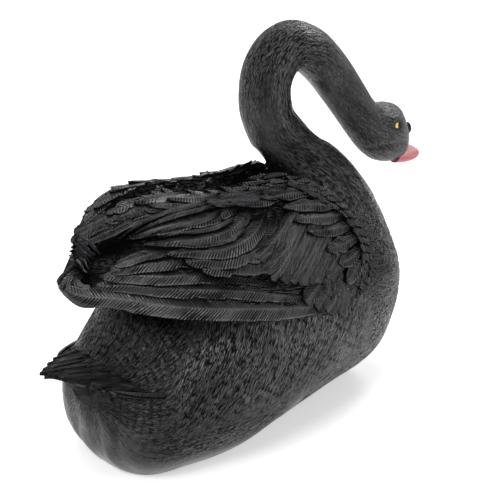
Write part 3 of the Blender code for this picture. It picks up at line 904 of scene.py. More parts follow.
def hood_feathers():
    """The raised upper group, with thin ribs that curl from its rim down into the wing's hollow."""
    blades = [
        [(0.52, 0.885), (0.635, 0.835), (0.775, 0.815), (0.945, 0.81)],
        [(0.50, 0.92), (0.628, 0.87), (0.792, 0.86), (0.995, 0.885)],
        [(0.54, 0.95), (0.668, 0.91), (0.816, 0.91), (1.02, 0.95)],
        [(0.592, 0.98), (0.72, 0.955), (0.83, 0.965), (0.995, 1.01)],
    ]
    group = [
        Feather(path, 4.4 + 0.3 * k, (1.2, 2.6), tilt=0.2, crown=0.6, slant=1.3, edge=0.6)
        for k, path in enumerate(blades)
    ]
    ribs = [
        [(0.99, 1.01), (0.934, 0.86), (0.845, 0.62)],
        [(1.005, 0.98), (0.950, 0.82), (0.862, 0.575)],
        [(1.015, 0.93), (0.958, 0.78), (0.872, 0.54)],
        [(1.022, 0.87), (0.967, 0.73), (0.882, 0.51)],
        [(1.026, 0.80), (0.970, 0.67), (0.892, 0.48)],
        [(1.026, 0.71), (0.968, 0.605), (0.898, 0.455)],
        [(1.018, 0.62), (0.962, 0.53), (0.902, 0.43)],
    ]
    return group + [
        Feather(path, 1.0, (2.4, 2.8), 0.0, 1.0, 1.2, 0.08, 3.0, barbs=0.3, painted_light_gain=1.8) for path in ribs
    ]


def covert_feathers():
    """The shoulder's soft mound, whose round end overhangs the primaries, and lobes below and before it."""
    lobes = [
        [(0.232, 0.42), (0.244, 0.30), (0.262, 0.20)],
        [(0.20, 0.24), (0.222, 0.14), (0.248, 0.05)],
        [(0.17, 0.40), (0.19, 0.28), (0.212, 0.18)],
        [(0.16, 0.20), (0.18, 0.11), (0.21, 0.03)],
        [(0.268, 0.245), (0.264, 0.12), (0.276, 0.005)],
        [(0.288, 0.23), (0.292, 0.115), (0.308, 0.025)],
        [(0.304, 0.24), (0.316, 0.145), (0.332, 0.05)],
        [(0.32, 0.265), (0.34, 0.18), (0.36, 0.105)],
        [(0.276, 0.335), (0.276, 0.23), (0.288, 0.14)],
        [(0.304, 0.355), (0.304, 0.255), (0.316, 0.155)],
    ]
    group = [
        Feather(path, 5.4, (0.8, 1.9), 0.1, 0.4, 1.4, 0.14, 3.6, edge=0.3)
        for path in lobes
    ]
    mound = [
        [(0.37, 0.76), (0.425, 0.55), (0.478, 0.39)],
        [(0.35, 0.73), (0.405, 0.49), (0.460, 0.30)],
        [(0.33, 0.70), (0.38, 0.44), (0.424, 0.24)],
        [(0.315, 0.65), (0.357, 0.40), (0.394, 0.21)],
        [(0.30, 0.60), (0.335, 0.375), (0.366, 0.205)],
        [(0.28, 0.54), (0.315, 0.36), (0.342, 0.22)],
        [(0.25, 0.48), (0.285, 0.36), (0.318, 0.27)],
    ]
    count = 17
    for k in reversed(range(count)):
        at = k * (len(mound) - 1) / (count - 1)
        path = along([np.ravel(points) for points in mound], at).reshape(3, 2)
        path[2] += (jitter(k, 90, 0.008), jitter(k, 91, 0.02))
        half = 3.6 + jitter(k, 92, 0.5)
        lifts = (2.2, 4.4 + jitter(k, 93, 0.5))
        group.append(Feather(path, half, lifts, 0.2, 0.6, 3.2, 0.08, 4.0, edge=0.4, painted_light_gain=1.2))
    return group


def hook_feathers():
    """Medium feathers that hang from the leading edge, with hooked tips."""
    paths = [
        [(0.70, 0.985), (0.76, 0.965), (0.82, 0.965)],
        [(0.60, 0.975), (0.66, 0.945), (0.735, 0.935)],
        [(0.52, 0.97), (0.58, 0.925), (0.65, 0.905)],
        [(0.425, 0.94), (0.496, 0.875), (0.565, 0.85)],
        [(0.37, 0.91), (0.44, 0.84), (0.505, 0.81)],
        [(0.31, 0.93), (0.38, 0.875), (0.445, 0.85)],
        [(0.24, 0.89), (0.326, 0.80), (0.405, 0.75)],
        [(0.225, 0.83), (0.31, 0.715), (0.388, 0.65)],
        [(0.21, 0.75), (0.285, 0.645), (0.36, 0.57)],
        [(0.19, 0.67), (0.26, 0.55), (0.322, 0.46)],
        [(0.175, 0.57), (0.235, 0.45), (0.295, 0.38)],
        [(0.17, 0.46), (0.22, 0.34), (0.276, 0.25)],
    ]
    return [Feather(path, 5.0, (1.2, 4.4), 0.16, 0.5, 0.7, 0.16, 3.0) for path in paths]


def ridge_feathers():
    """Ragged feathers in two rows that point back along the ridge, and torn tips that stand up."""
    group = []
    for k in range(24):
        row = k % 2
        s = 0.27 + 0.028 * k + jitter(k, 3, 0.012)
        v = 0.95 - 0.055 * row + jitter(k, 4, 0.015)
        turn = jitter(k, 6, 0.05)
        path = [(s - 0.035, v), (s + 0.01, v + 0.2 * turn), (s + 0.06, v + turn)]
        lifts = (0.6, 2.6 + jitter(k, 7, 1.4))
        half = 3.8 + jitter(k, 8, 0.8)
        group.append(Feather(path, half, lifts, 0.0, 0.4, 0.8, 0.26, 2.0, barbs=0.8))
    for k in range(12):
        s, v = 0.44 + 0.034 * k + jitter(k, 80, 0.012), 0.875 + jitter(k, 81, 0.02)
        path = [(s - 0.035, v), (s + 0.01, v - 0.01), (s + 0.055, v - 0.02 + jitter(k, 82, 0.03))]
        lifts = (1.8, 4.2 + jitter(k, 83, 1.0))
        group.append(Feather(path, 3.4, lifts, 0.2, 0.5, 1.2, 0.26, 2.0, painted_light_gain=1.1))
    for k in range(16):
        s = 0.24 + 0.040 * k + jitter(k, 20, 0.014)
        top = 1.04 + jitter(k, 21, 0.025)
        path = [(s - 0.02, 0.93), (s + 0.01, 0.985), (s + 0.035, top)]
        lifts = (0.6, 1.6 + jitter(k, 22, 1.0))
        group.append(Feather(path, 3.4, lifts, 0.0, 0.4, 0.9, 0.3, 1.6, barbs=0.8, painted_light_gain=1.4))
    return group


def valley_feathers():
    """Ragged feathers on the inner faces of the wings, which lean back over one another."""
    group = []
    for row in range(3):
        for k in range(10):
            s = 0.20 + 0.073 * k + 0.024 * row + jitter(k, 30 + row, 0.015)
            w = 0.42 - 0.15 * row + jitter(k, 40 + row, 0.04)
            turn = 0.10 + jitter(k, 50 + row, 0.06)
            path = [(s - 0.035, w + 0.04), (s + 0.02, w), (s + 0.075, max(w - turn, 0.02))]
            lifts = (0.3, 2.4 + jitter(k, 60 + row, 1.0))
            half = 4.8 + jitter(k, 70 + row, 0.8)
            # A high painted light gain paints light onto these feathers, which lie in the wings' shade.
            group.append(Feather(path, half, lifts, 0.0, 0.5, 0.7, 0.26, 2.0, barbs=0.8, painted_light_gain=1.9))
    return group


def shoulder_feathers():
    """Narrow feathers in three rows over the leading edge, like strands of a rope."""
    edge = [(0.46, 1.06), (0.36, 1.01), (0.31, 0.975), (0.26, 0.94), (0.20, 0.89)]
    edge += [(0.152, 0.76), (0.132, 0.55), (0.14, 0.27), (0.16, 0.06)]
    group = []
    for row in range(3):
        count = 19 - row
        for k in range(count):
            at = (k + 0.5 * (row % 2) + 0.3) * (len(edge) - 1) / count
            behind, here, ahead = (
                along(edge, min(max(at + step, 0), len(edge) - 1)) for step in (-0.30, 0.0, 0.34)
            )
            inward = np.array((0.021, -0.04 * ease(here[1], 0.6, 0.9))) * (row - 0.4)
            lifts = (0.9, 3.0 - 0.2 * row + jitter(k, 7 + row, 0.5))
            path = [tuple(behind + inward), tuple(here + inward), tuple(ahead + 1.25 * inward)]
            group.append(Feather(path, 1.9, lifts, 0.0, 0.6, 0.8, 0.2, 2.6, barbs=0.7))
    return group


def tail_feathers():
    """Pointed feathers of the tail fan, a lower row to its edge and an upper row over its root."""
    group = []
    for k in range(15):
        v = -0.84 + 0.12 * k
        tip = 1.03 - 0.28 * abs(v) - 0.40 * v**4 + jitter(k, 8, 0.03)
        path = [(0.05, v), (0.5 * tip, v), (tip, 1.03 * v + jitter(k, 9, 0.02))]
        lifts = (0.0, 0.5 + 0.5 * (k % 2))
        group.append(Feather(path, 3.3, lifts, 0.0, 0.3, 3.0, 0.10, 2.6, barbs=1.2, edge=0.2))
    for k in range(11):
        v = -0.75 + 0.15 * k + jitter(k, 10, 0.03)
        path = [(-0.08, 0.95 * v), (0.22, v), (0.50 + jitter(k, 12, 0.10) - 0.15 * abs(v), v)]
        lifts = (0.1, 1.0 + 0.4 * (k % 2))
        group.append(Feather(path, 4.2, lifts, 0.0, 0.25, 3.0, 0.14, 2.4, barbs=1.2, edge=0.1))
    return group


def border_feathers():
    """A thin rim along each side of the tail."""
    sides = [[(0.0, 0.86 * side), (0.14, 0.99 * side), (0.36, side), (0.60, side)] for side in (-1, 1)]
    return [Feather(path, 1.6, (0.3, 0.5), 0.0, 0.5, 1.5, 0.05, 3.0, 0.6) for path in sides]


# Materials


class Nodes:
    """Short calls to lay out a material's nodes."""

    def __init__(self, name):
        """Starts a material of that name."""
        self.material = bpy.data.materials.new(name)
        self.material.use_nodes = True
        self.tree = self.material.node_tree
        self.shader = self.tree.nodes["Principled BSDF"]

    def node(self, kind, **inputs):
        """A node whose inputs are linked to the sockets or set to the values given."""
        made = self.tree.nodes.new(kind)
        for key, value in inputs.items():
            name = key.replace("_", " ")
            if isinstance(value, bpy.types.NodeSocket):
                self.tree.links.new(value, made.inputs[name])
            else:
                made.inputs[name].default_value = value
        return made

    def math(self, operation, first, second=0.0):
        """The result of one operation on two sockets or values."""
        made = self.tree.nodes.new("ShaderNodeMath")
        made.operation = operation
        for socket, value in zip(made.inputs, (first, second)):
            if isinstance(value, bpy.types.NodeSocket):
                self.tree.links.new(value, socket)
            else:
                socket.default_value = value
        return made.outputs[0]

    def spread(self, value, low, high, to_low, to_high):
        """A value mapped from one range to another."""
        made = self.tree.nodes.new("ShaderNodeMapRange")
        self.tree.links.new(value, made.inputs["Value"])
        for name, number in zip(("From Min", "From Max", "To Min", "To Max"), (low, high, to_low, to_high)):
            made.inputs[name].default_value = number
        return made.outputs["Result"]

    def texture(self, vector, scale, detail=2.0, stretch=(1.0, 1.0, 1.0)):
        """Noise over a place, stretched along its axes."""
        mapped = self.node("ShaderNodeMapping", Vector=vector, Scale=stretch)
        made = self.node("ShaderNodeTexNoise", Vector=mapped.outputs[0], Scale=scale, Detail=detail)
        return made.outputs["Fac"]

    def ramp(self, value, *stops):
        """A colour that runs between two stops of position and colour."""
        made = self.node("ShaderNodeValToRGB", Fac=value)
        for element, (position, colour) in zip(made.color_ramp.elements, stops):
            element.position, element.color = position, (*colour, 1)
        return made.outputs["Color"]

    def paint(self, name, output):
        """Links an output to one of the shader's inputs."""
        self.tree.links.new(output, self.shader.inputs[name])


def strand_height(nodes, place, along_size, across_size):
    """Height of strokes that run along X of a place: rounded strands with narrow grooves, 0 to 1."""
    wide = nodes.texture(place, 1.0, 1.0, (1 / along_size, 1 / across_size, 1.0))
    fine = nodes.texture(place, 1.0, 2.0, (1.7 / along_size, 1.9 / across_size, 1.0))
    apart = nodes.math("ABSOLUTE", nodes.math("SUBTRACT", wide, 0.5))
    strand = nodes.spread(apart, 0.0, 0.12, 0.0, 0.8)
    return nodes.math("ADD", strand, nodes.math("MULTIPLY", nodes.math("SUBTRACT", fine, 0.5), 0.9))


def barb_height(nodes, place):
    """Height of fine streaks along the barbs of a feather, which run along X of a UV place, 0 to 1."""
    fine = nodes.texture(place, 1.0, 2.0, (1 / (5 * MM), 1 / (0.5 * MM), 1.0))
    return nodes.spread(fine, 0.3, 0.7, 0.35, 1.05)


def resin(name, paint, barbed):
    """Satin black coat over engraved strokes, with painted shade in their grooves and painted highlights on
    their crests, in its colour and its specular level.
    """
    nodes = Nodes(name)
    uv = nodes.node("ShaderNodeUVMap")
    uv.uv_map = "plumage"
    object_place = nodes.node("ShaderNodeTexCoord").outputs["Object"]
    wear = {}
    for key in COAT_ATTRIBUTES:
        made = nodes.tree.nodes.new("ShaderNodeAttribute")
        made.attribute_name = key
        wear[key] = made.outputs["Fac"]
    if barbed:
        height = barb_height(nodes, uv.outputs[0])
    else:
        level = strand_height(nodes, uv.outputs[0], *STROKE_SIZE)
        turned = nodes.node("ShaderNodeVectorRotate", Vector=object_place, Angle=FLANK_TURN)
        turned.rotation_type = "Y_AXIS"
        parts = nodes.node("ShaderNodeSeparateXYZ", Vector=turned.outputs[0])
        place = nodes.node("ShaderNodeCombineXYZ", X=parts.outputs["X"], Y=parts.outputs["Z"])
        steep = strand_height(nodes, place.outputs[0], *FLANK_STROKE_SIZE)
        apart = nodes.math("MULTIPLY", nodes.math("SUBTRACT", steep, level), wear["lean"])
        height = nodes.math("ADD", level, apart)
    cut = nodes.math("MULTIPLY", nodes.math("SUBTRACT", height, UNCARVED), wear["carving"])
    relief = nodes.math("ADD", cut, UNCARVED)
    pits = nodes.texture(object_place, PITS_PER_METRE, 3.0)
    clouds = nodes.texture(object_place, CLOUDS_PER_METRE, 3.0)
    depth = BARB_BUMP if barbed else STROKE_BUMP
    bump = nodes.node("ShaderNodeBump", Distance=depth, Strength=1.0, Height=relief)
    fine = nodes.node("ShaderNodeBump", Distance=PIT_BUMP, Strength=0.7, Height=pits, Normal=bump.outputs[0])
    nodes.paint("Normal", fine.outputs[0])
    rough, apart = paint.resin_roughness, 0.10
    nodes.paint("Roughness", nodes.spread(clouds, 0.35, 0.65, rough - apart, rough + apart))
    # Painted light and shade: the stroke height times the painted light attribute sets the specular level
    # and the colour, darker in grooves, hollows and shadowed places and lighter on crests, rims and painted
    # highlights.
    painted_sheen_and_shade = nodes.math("MULTIPLY", relief, wear["painted_light_and_tone"])
    nodes.paint("Specular IOR Level", nodes.spread(painted_sheen_and_shade, 0.12, 0.85, 0.0, 0.80))
    # A shaded and a lit copy of the resin colour, for the painted shade and the painted light.
    dark = [0.25 * c for c in paint.resin_colour]
    light = [1.4 * c for c in paint.resin_colour]
    nodes.paint("Base Color", nodes.ramp(painted_sheen_and_shade, (0.12, dark), (0.8, light)))
    return nodes.material


def bill_paint(paint):
    """Red that turns pale pink towards the top of the bill, with a cloudy border, under the same satin coat.
    """
    nodes = Nodes("bill_paint")
    place = nodes.node("ShaderNodeTexCoord").outputs["Generated"]
    parts = nodes.node("ShaderNodeSeparateXYZ", Vector=place)
    cloud = nodes.texture(place, 9.0, 3.0)
    high = nodes.math("ADD", parts.outputs["Z"], nodes.math("MULTIPLY", cloud, 0.25))
    nodes.paint("Base Color", nodes.ramp(high, (0.50, paint.bill_colour), (0.68, paint.bill_pale)))
    nodes.paint("Roughness", nodes.spread(cloud, 0.3, 0.7, 0.28, 0.5))
    bump = nodes.node("ShaderNodeBump", Distance=0.1 * MM, Strength=0.5, Height=cloud)
    nodes.paint("Normal", bump.outputs[0])
    return nodes.material


def eye_paint(paint):
    """Yellow, a little uneven from the brush."""
    nodes = Nodes("eye_paint")
    place = nodes.node("ShaderNodeTexCoord").outputs["Generated"]
    cloud = nodes.texture(place, 5.0, 3.0)
    deep = [0.75 * c for c in paint.iris_colour]
    nodes.paint("Base Color", nodes.ramp(cloud, (0.3, deep), (0.6, paint.iris_colour)))
    nodes.shader.inputs["Roughness"].default_value = 0.18
    nodes.shader.inputs["Coat Weight"].default_value = 0.6
    return nodes.material


def material(name, make, *details):
    """The named material, made on first use."""
    return bpy.data.materials.get(name) or make(*details)


def plumage_resin(paint):
    """The coat of the body, over engraved strokes."""
    return material("plumage_resin", resin, "plumage_resin", paint, False)


def feather_resin(paint):
    """The coat of the single feathers, over barbs."""
    return material("feather_resin", resin, "feather_resin", paint, True)


# Operators


class SwanOperator:
    """What every step shares."""

    bl_options = {"REGISTER", "UNDO"}


class SWAN_OT_skin(SwanOperator, bpy.types.Operator):
    """Trunk, neck and head, with engraved strokes above a smooth waterline"""

    bl_idname = "swan.skin"
    bl_label = "Trunk, neck and head"

    def execute(self, context):
        plumage, paint = context.scene.swan_plumage, context.scene.swan_paint
        rows = trunk_rows() + neck_rows()
        places = even_rows(0.0, len(rows) - 1.0, SKIN_STEP)
        grid = ring_grid(along(rows, places), SKIN_SIDES)
        u, v = skin_lengths(grid, places)
        normals = grid_normals(grid)
        relief, wear = skin_relief(grid, normals, u, v, places, plumage)
        grid = grid + normals * relief[..., None]
        uv = np.stack([u, v], axis=-1)
        cuts = np.searchsorted(places, (BREAST_START, NECK_START))
        parts = {
            "trunk_rear": (slice(0, cuts[0] + 1), 1),
            "breast": (slice(cuts[0], cuts[1] + 1), 1),
            "neck_and_head": (slice(cuts[1], len(places)), 2),
        }
        for name, (rings, stride) in parts.items():
            shapes = Shapes()
            shapes.add(grid[rings, ::stride], uv[rings, ::stride], wear=wear[rings, ::stride])
            finish_piece(shapes.build(name), plumage_resin(paint))
        return {"FINISHED"}


def skin_relief(grid, normals, u, v, places, plumage):
    """Height of the carving over the plain skin, and the point attributes of its coat, which carry its
    painted light and shade.
    """
    x, height = grid[..., 0], grid[..., 2]
    on_neck = ease(places, NECK_START - 1, NECK_START + 3)[:, None]
    on_head = ease(places, HEAD_START - 1, HEAD_START + 3)[:, None]
    rising = x * math.cos(FLANK_TURN) + height * math.sin(FLANK_TURN)
    across = height * math.cos(FLANK_TURN) - x * math.sin(FLANK_TURN)
    lean = ease(height, 26 * MM, 44 * MM) * ease(x, -98 * MM, -80 * MM) * (1 - ease(x, 42 * MM, 66 * MM))
    lean = lean * (1 - on_neck) * ease(np.abs(normals[..., 1]), 0.5, 0.8)
    pitch = 1.35 * plumage.stroke_pitch
    relief = strokes(u, v, pitch) * (1 - lean) + strokes(rising, across, pitch, 20) * lean
    depth = plumage.stroke_depth * (0.8 + 0.35 * noise(u / (20 * MM), v / (16 * MM), 31))
    depth = depth * (1 - 0.35 * on_neck - 0.3 * on_head)

    stern = near(grid, mm(-122, 0, 18), (26, 62, 24))
    plain = ease(height, 7 * MM, 20 * MM) * (1 - 0.9 * stern)
    plain = plain * (1 - 0.85 * smooth_patches(grid))
    y = grid[..., 1]
    pleats = np.sin(y / (3.1 * MM) + 1.3 * noise(height / (14 * MM), y / (9 * MM), 33))
    # Painted light and shade: lighter on the stroke crests and on the stern's pleats, with a random tone.
    painted_light_and_tone = 0.84 + 0.06 * relief * plain + 0.3 * stern * pleats
    painted_light_and_tone = painted_light_and_tone + 0.2 * noise(u / (26 * MM), v / (20 * MM), 35)
    # Painted shadow under the rear of the wings, on both sides.
    painted_light_and_tone = painted_light_and_tone * (1 - 0.75 * near(grid, mm(-86, 0, 92), (26, 62, 12)))
    # Painted highlight on the near rear flank.
    painted_light_and_tone = painted_light_and_tone * (1 + 0.6 * near(grid, mm(-94, -36, 74), (12, 12, 8)))
    relief = relief * depth * plain + 0.9 * MM * stern * pleats
    relief = relief - 2.5 * MM * near(grid, mm(-98, 0, 73), (16, 60, 8))
    relief = relief + (leg_relief(grid) + head_relief(grid)) * ease(height, 1 * MM, 5 * MM)
    carving = np.clip(plain * (1 - 0.35 * on_head), 0, 1)
    return relief * ease(height, 0.0, 3 * MM), np.stack([carving, painted_light_and_tone.clip(0.1, 1.3), lean], axis=-1)


def smooth_patches(grid):
    """Where the carving is worn smooth: beside the nape, under the throat and over the folded legs."""
    rows = [
        (1.0, neck_point(-0.20, 0.25, -6, 10, 0), (9, 9, 22)),
        (1.0, neck_point(0.30, 0.58, 0, 6, 0), (11, 9, 13)),
        (1.0, mm(-6, 46, 26), (9, 16, 9)),
    ]
    return np.clip(bumps(grid, rows), 0, 1)


def leg_relief(grid):
    """The folded leg on each side: a smooth low swelling with a pit over it."""
    rows = [
        (1.4 * MM, mm(-7, 44, 27), (8, 14, 9)),
        (-1.8 * MM, mm(-9, 46, 45), (2.6, 12, 2.6)),
        (0.9 * MM, mm(-5, 46, 35), (3, 12, 4)),
        (-1.2 * MM, mm(-1, 46, 33), (1.6, 12, 1.8)),
    ]
    return bumps(grid, rows)


def head_relief(grid):
    """Brows over the eyes, cheeks that lap over the bill's root, and a groove along the jaw."""
    rows = [
        (0.9 * MM, neck_point(*EYE_PLACE, 0.5, 9, 4.6), (6, 8, 1.5)),
        (-0.9 * MM, neck_point(*EYE_PLACE, 0, 10, 0), (3.6, 8, 3.0)),
        (0.7 * MM, neck_point(1.10, -0.36, 0, 7, 0), (4.5, 7, 6)),
        (-0.7 * MM, neck_point(0.86, -0.22, 0, 10, 0), (9, 12, 1.3)),
    ]
    swell = bumps(grid, [(0.9 * MM, neck_point(0.98, 0.08, 0, 0, 0), (9, 12, 8))])
    for points in (grid, grid * MIRROR):
        side = ease(points[..., 1], 1 * MM, 5 * MM)
        swell = swell + side * sum(height * near(points, place, sizes) for height, place, sizes in rows)
    return swell


class SWAN_OT_wings(SwanOperator, bpy.types.Operator):
    """Shells of both wings, on which the feathers lie"""

    bl_idname = "swan.wings"
    bl_label = "Wing shells"

    def execute(self, context):
        s = np.linspace(0, 1, WING_RINGS)[:, None]
        v = np.linspace(0, 1, WING_SIDES)[None, :]
        outer = wing_place(s, v)
        normals = face_normal(wing_place, s + 0 * v, v + 0 * s)
        flat = np.stack([WING_LENGTH * s + 0 * v, WING_GIRTH * v + 0 * s], axis=-1)
        relief = strokes(flat[..., 0], flat[..., 1], 2.2 * MM, 60)
        rim = ease(v, 0, 0.05) * ease(1 - v, 0, 0.05)
        outer = outer + normals * (0.35 * MM * relief * rim)[..., None]
        inner = inner_corners(s[:, 0], outer[:, 0], outer[:, -1])
        grid = np.concatenate([outer, inner], axis=1)
        steps = [flat[:, -1:] + np.array((0.0, step)) for step in mm(4, 34, 74)]
        uv = np.concatenate([flat, *steps], axis=1)
        # Painted shade: the shell between the feathers gets a low painted light value, lower still in its
        # carved hollows, and its nose a higher one.
        painted_light_and_tone = np.full(uv.shape[:2], 0.55)
        for _, share in hollow_shares(s, v):
            painted_light_and_tone[:, : v.shape[1]] *= 1 - 0.75 * share
        nose = np.linspace(1, 0, NOSE_RINGS, endpoint=False)[:, None, None]
        end = grid[0, [0, -2, -2], [0, 1, 2]] + (NOSE_LENGTH, 0.0, -4 * MM)
        grid = np.concatenate([grid[:1] + (end - grid[:1]) * 0.98 * nose, grid])
        uv = np.concatenate([uv[:1] - nose * np.array((NOSE_LENGTH, 0.0)), uv])
        painted_light_and_tone = np.concatenate([np.full((NOSE_RINGS, painted_light_and_tone.shape[1]), 0.8), painted_light_and_tone])
        shapes = Shapes()
        shapes.add_wings(grid, uv, np.stack([1 + 0 * painted_light_and_tone, painted_light_and_tone, 0 * painted_light_and_tone], axis=-1))
        finish_piece(shapes.build("wing_shells"), plumage_resin(context.scene.swan_paint))
        return {"FINISHED"}


def inner_corners(s, low, high):
    """Each wing section's three corners inside: under the ridge, in the valley and under the lower edge."""
    wall, depth = wing_section(s)
    top = high.copy()
    top[:, 1] -= np.minimum(wall * 0.4, high[:, 1] + MM)
    top[:, 2] -= wall * 0.4
    root = valley_root(s, high)
    bottom = low.copy()
    bottom[:, 1] -= np.minimum(wall * 0.5 + WING_SEAT * depth, low[:, 1] + MM)
    in_front = np.minimum(low[:, 2], root[:, 2] - 2 * MM)
    bottom[:, 2] = np.where(s < 0.15, in_front, low[:, 2] + wall * 0.35)
    return np.stack([top, root, bottom], axis=1)


class SWAN_OT_flight_feathers(SwanOperator, bpy.types.Operator):
    """Primaries, secondaries, and the curled groups at the two ends of each wing"""

    bl_idname = "swan.flight_feathers"
    bl_label = "Flight feathers"

    def execute(self, context):
        groups = {
            "primaries": primary_feathers(),
            "secondaries": secondary_feathers(),
            "upper_tip_feathers": hood_feathers(),
            "lower_tip_feathers": lobe_feathers(),
        }
        for name, feathers in groups.items():
            lay_feathers(context.scene, name, wing_place, feathers)
        return {"FINISHED"}


class SWAN_OT_coverts(SwanOperator, bpy.types.Operator):
    """Soft feathers of the shoulders, hooked feathers, and the ragged rows of the edge and the ridge"""

    bl_idname = "swan.coverts"
    bl_label = "Coverts"

    def execute(self, context):
        groups = {
            "coverts": covert_feathers(),
            "hooked_feathers": hook_feathers(),
            "ridge_feathers": ridge_feathers(),
            "shoulder_feathers": shoulder_feathers(),
        }
        for name, feathers in groups.items():
            lay_feathers(context.scene, name, wing_place, feathers)
        lay_feathers(context.scene, "valley_feathers", valley_place, valley_feathers())
        return {"FINISHED"}


class SWAN_OT_tail(SwanOperator, bpy.types.Operator):
    """Tail fan and the pointed feathers on it"""

    bl_idname = "swan.tail"
    bl_label = "Tail"

    def execute(self, context):
        scene = context.scene
        s = np.linspace(0, 1, TAIL_RINGS)[:, None]
        v = np.linspace(-1, 1, TAIL_RINGS)[None, :]
        top = tail_place(s, v)
        thick = TAIL_THICKNESS * (1 - 0.6 * s) * (1 - 0.75 * np.abs(v))
        under = top - np.stack([0 * thick, 0 * thick, thick], axis=-1)
        flat = np.stack([TAIL_LENGTH * s + 0 * v, TAIL_SPREAD / 2 * v + 0 * s], axis=-1)
        relief = strokes(flat[..., 0], flat[..., 1], 2.0 * MM, 70)
        top[..., 2] += 0.4 * MM * relief * ease(1 - np.abs(v), 0, 0.3)
        grid = np.concatenate([top, under[:, ::-1]], axis=1)
        shapes = Shapes()
        shapes.add(grid, np.concatenate([flat, flat[:, ::-1]], axis=1))
        finish_piece(shapes.build("tail_fan"), plumage_resin(scene.swan_paint))
        lay_feathers(scene, "tail_feathers", fan_place, tail_feathers(), wing=False)
        lay_feathers(scene, "tail_borders", tail_place, border_feathers(), wing=False)
        return {"FINISHED"}


class SWAN_OT_face(SwanOperator, bpy.types.Operator):
    """Bill, the knob over its root, and the eyes with their pupils"""

    bl_idname = "swan.face"
    bl_label = "Bill, knob and eyes"

    def execute(self, context):
        paint = context.scene.swan_paint
        finish_piece(make_bill(), material("bill_paint", bill_paint, paint))
        knob_x, knob_z = neck_place(*KNOB_PLACE)
        knob = ball("knob", [(knob_x, 0.0, knob_z)], KNOB_RADIUS, 40, KNOB_GRAIN)
        finish_piece(knob, plumage_resin(paint))
        make_eyes(paint)
        return {"FINISHED"}


def make_bill():
    """The bill: a blunt wedge with a line where it would open."""
    root_x, root_z = neck_place(*BILL_ROOT)
    lean_x, lean_z = math.sin(BILL_DIP), math.cos(BILL_DIP)
    profile = [(0.0, 1.0), (0.3, 0.97), (0.6, 0.82), (0.82, 0.60), (0.95, 0.36), (1.0, 0.12)]
    share, deep = along(profile, np.linspace(0, len(profile) - 1, 60)).T
    turn = 2 * math.pi * np.arange(64) / 64
    gape = 0.45 * MM * np.exp(-(((np.cos(turn) + 0.25) / 0.10) ** 2))
    radius = BILL_RADIUS * deep[:, None] - gape[None, :] * ease(1 - share, 0, 0.1)[:, None]
    up = radius * np.cos(turn)
    x = root_x + BILL_LENGTH * share[:, None] * lean_z + lean_x * up
    z = root_z - BILL_LENGTH * share[:, None] * lean_x + lean_z * up
    grid = np.stack([x, BILL_FLATNESS * radius * np.sin(turn), z], axis=-1)
    uv = np.stack(matched(share[:, None] * BILL_LENGTH, turn * BILL_RADIUS), axis=-1)
    shapes = Shapes()
    shapes.add(grid, uv)
    return shapes.build("bill")


def ball(name, centres, radius, sides, grain=0.0, stretch=(1.0, 1.0, 1.0)):
    """Balls at the centres, as one object, with an uneven skin of that grain."""
    shapes = Shapes()
    lift = np.linspace(0.02, math.pi - 0.02, sides // 2)[:, None]
    turn = (2 * math.pi * np.arange(sides) / sides)[None, :]
    uneven = radius + grain * noise(lift * 4 + 0 * turn, np.cos(turn) * 3 + np.sin(turn) * 2, 80)
    way = np.stack([np.sin(lift) * np.cos(turn), np.sin(lift) * np.sin(turn), np.cos(lift) + 0 * turn], -1)
    uv = np.stack(matched(lift * radius, turn * radius), axis=-1)
    for centre in centres:
        shapes.add(np.array(centre) + way * uneven[..., None] * np.array(stretch), uv)
    return shapes.build(name)


def make_eyes(paint):
    """Yellow irises with dark pupils that look forward."""
    eye_x, eye_z = neck_place(*EYE_PLACE)
    iris_centres = [(eye_x, side * EYE_SPREAD, eye_z) for side in (1, -1)]
    pupil_centres = [(eye_x + 2.1 * MM, side * PUPIL_SPREAD, eye_z + 0.1 * MM) for side in (1, -1)]
    iris = ball("irises", iris_centres, IRIS_RADIUS, 48, stretch=(1.22, 0.75, 1.12))
    finish_piece(iris, material("eye_paint", eye_paint, paint))
    pupil = ball("pupils", pupil_centres, PUPIL_RADIUS, 32, stretch=(1.0, 1.0, 1.5))
    finish_piece(pupil, plumage_resin(paint))


class SWAN_OT_stage(SwanOperator, bpy.types.Operator):
    """Floor, lamps, world and camera"""

    bl_idname = "swan.stage"
    bl_label = "Stage"

    def execute(self, context):
        stage = context.scene.swan_stage
        make_floor(stage)
        make_world(context.scene)
        for name, place, size, power in LAMPS:
            make_lamp(name, place, size, power)
        make_camera(context.scene, stage)
        context.scene.view_settings.view_transform = "Standard"
        return {"FINISHED"}


def camera_only(nodes, seen, else_shader):
    """Mixes two shaders: the first for camera, mirror and glass rays, and the second for all others."""
    path = nodes.new("ShaderNodeLightPath")
    links = seen.id_data.links
    chosen = path.outputs["Is Camera Ray"]
    for name in ("Is Glossy Ray", "Is Transmission Ray"):
        either = nodes.new("ShaderNodeMath")
        either.operation = "MAXIMUM"
        links.new(chosen, either.inputs[0])
        links.new(path.outputs[name], either.inputs[1])
        chosen = either.outputs[0]
    mix = nodes.new("ShaderNodeMixShader")
    links.new(chosen, mix.inputs[0])
    links.new(else_shader.outputs[0], mix.inputs[1])
    links.new(seen.outputs[0], mix.inputs[2])
    return mix


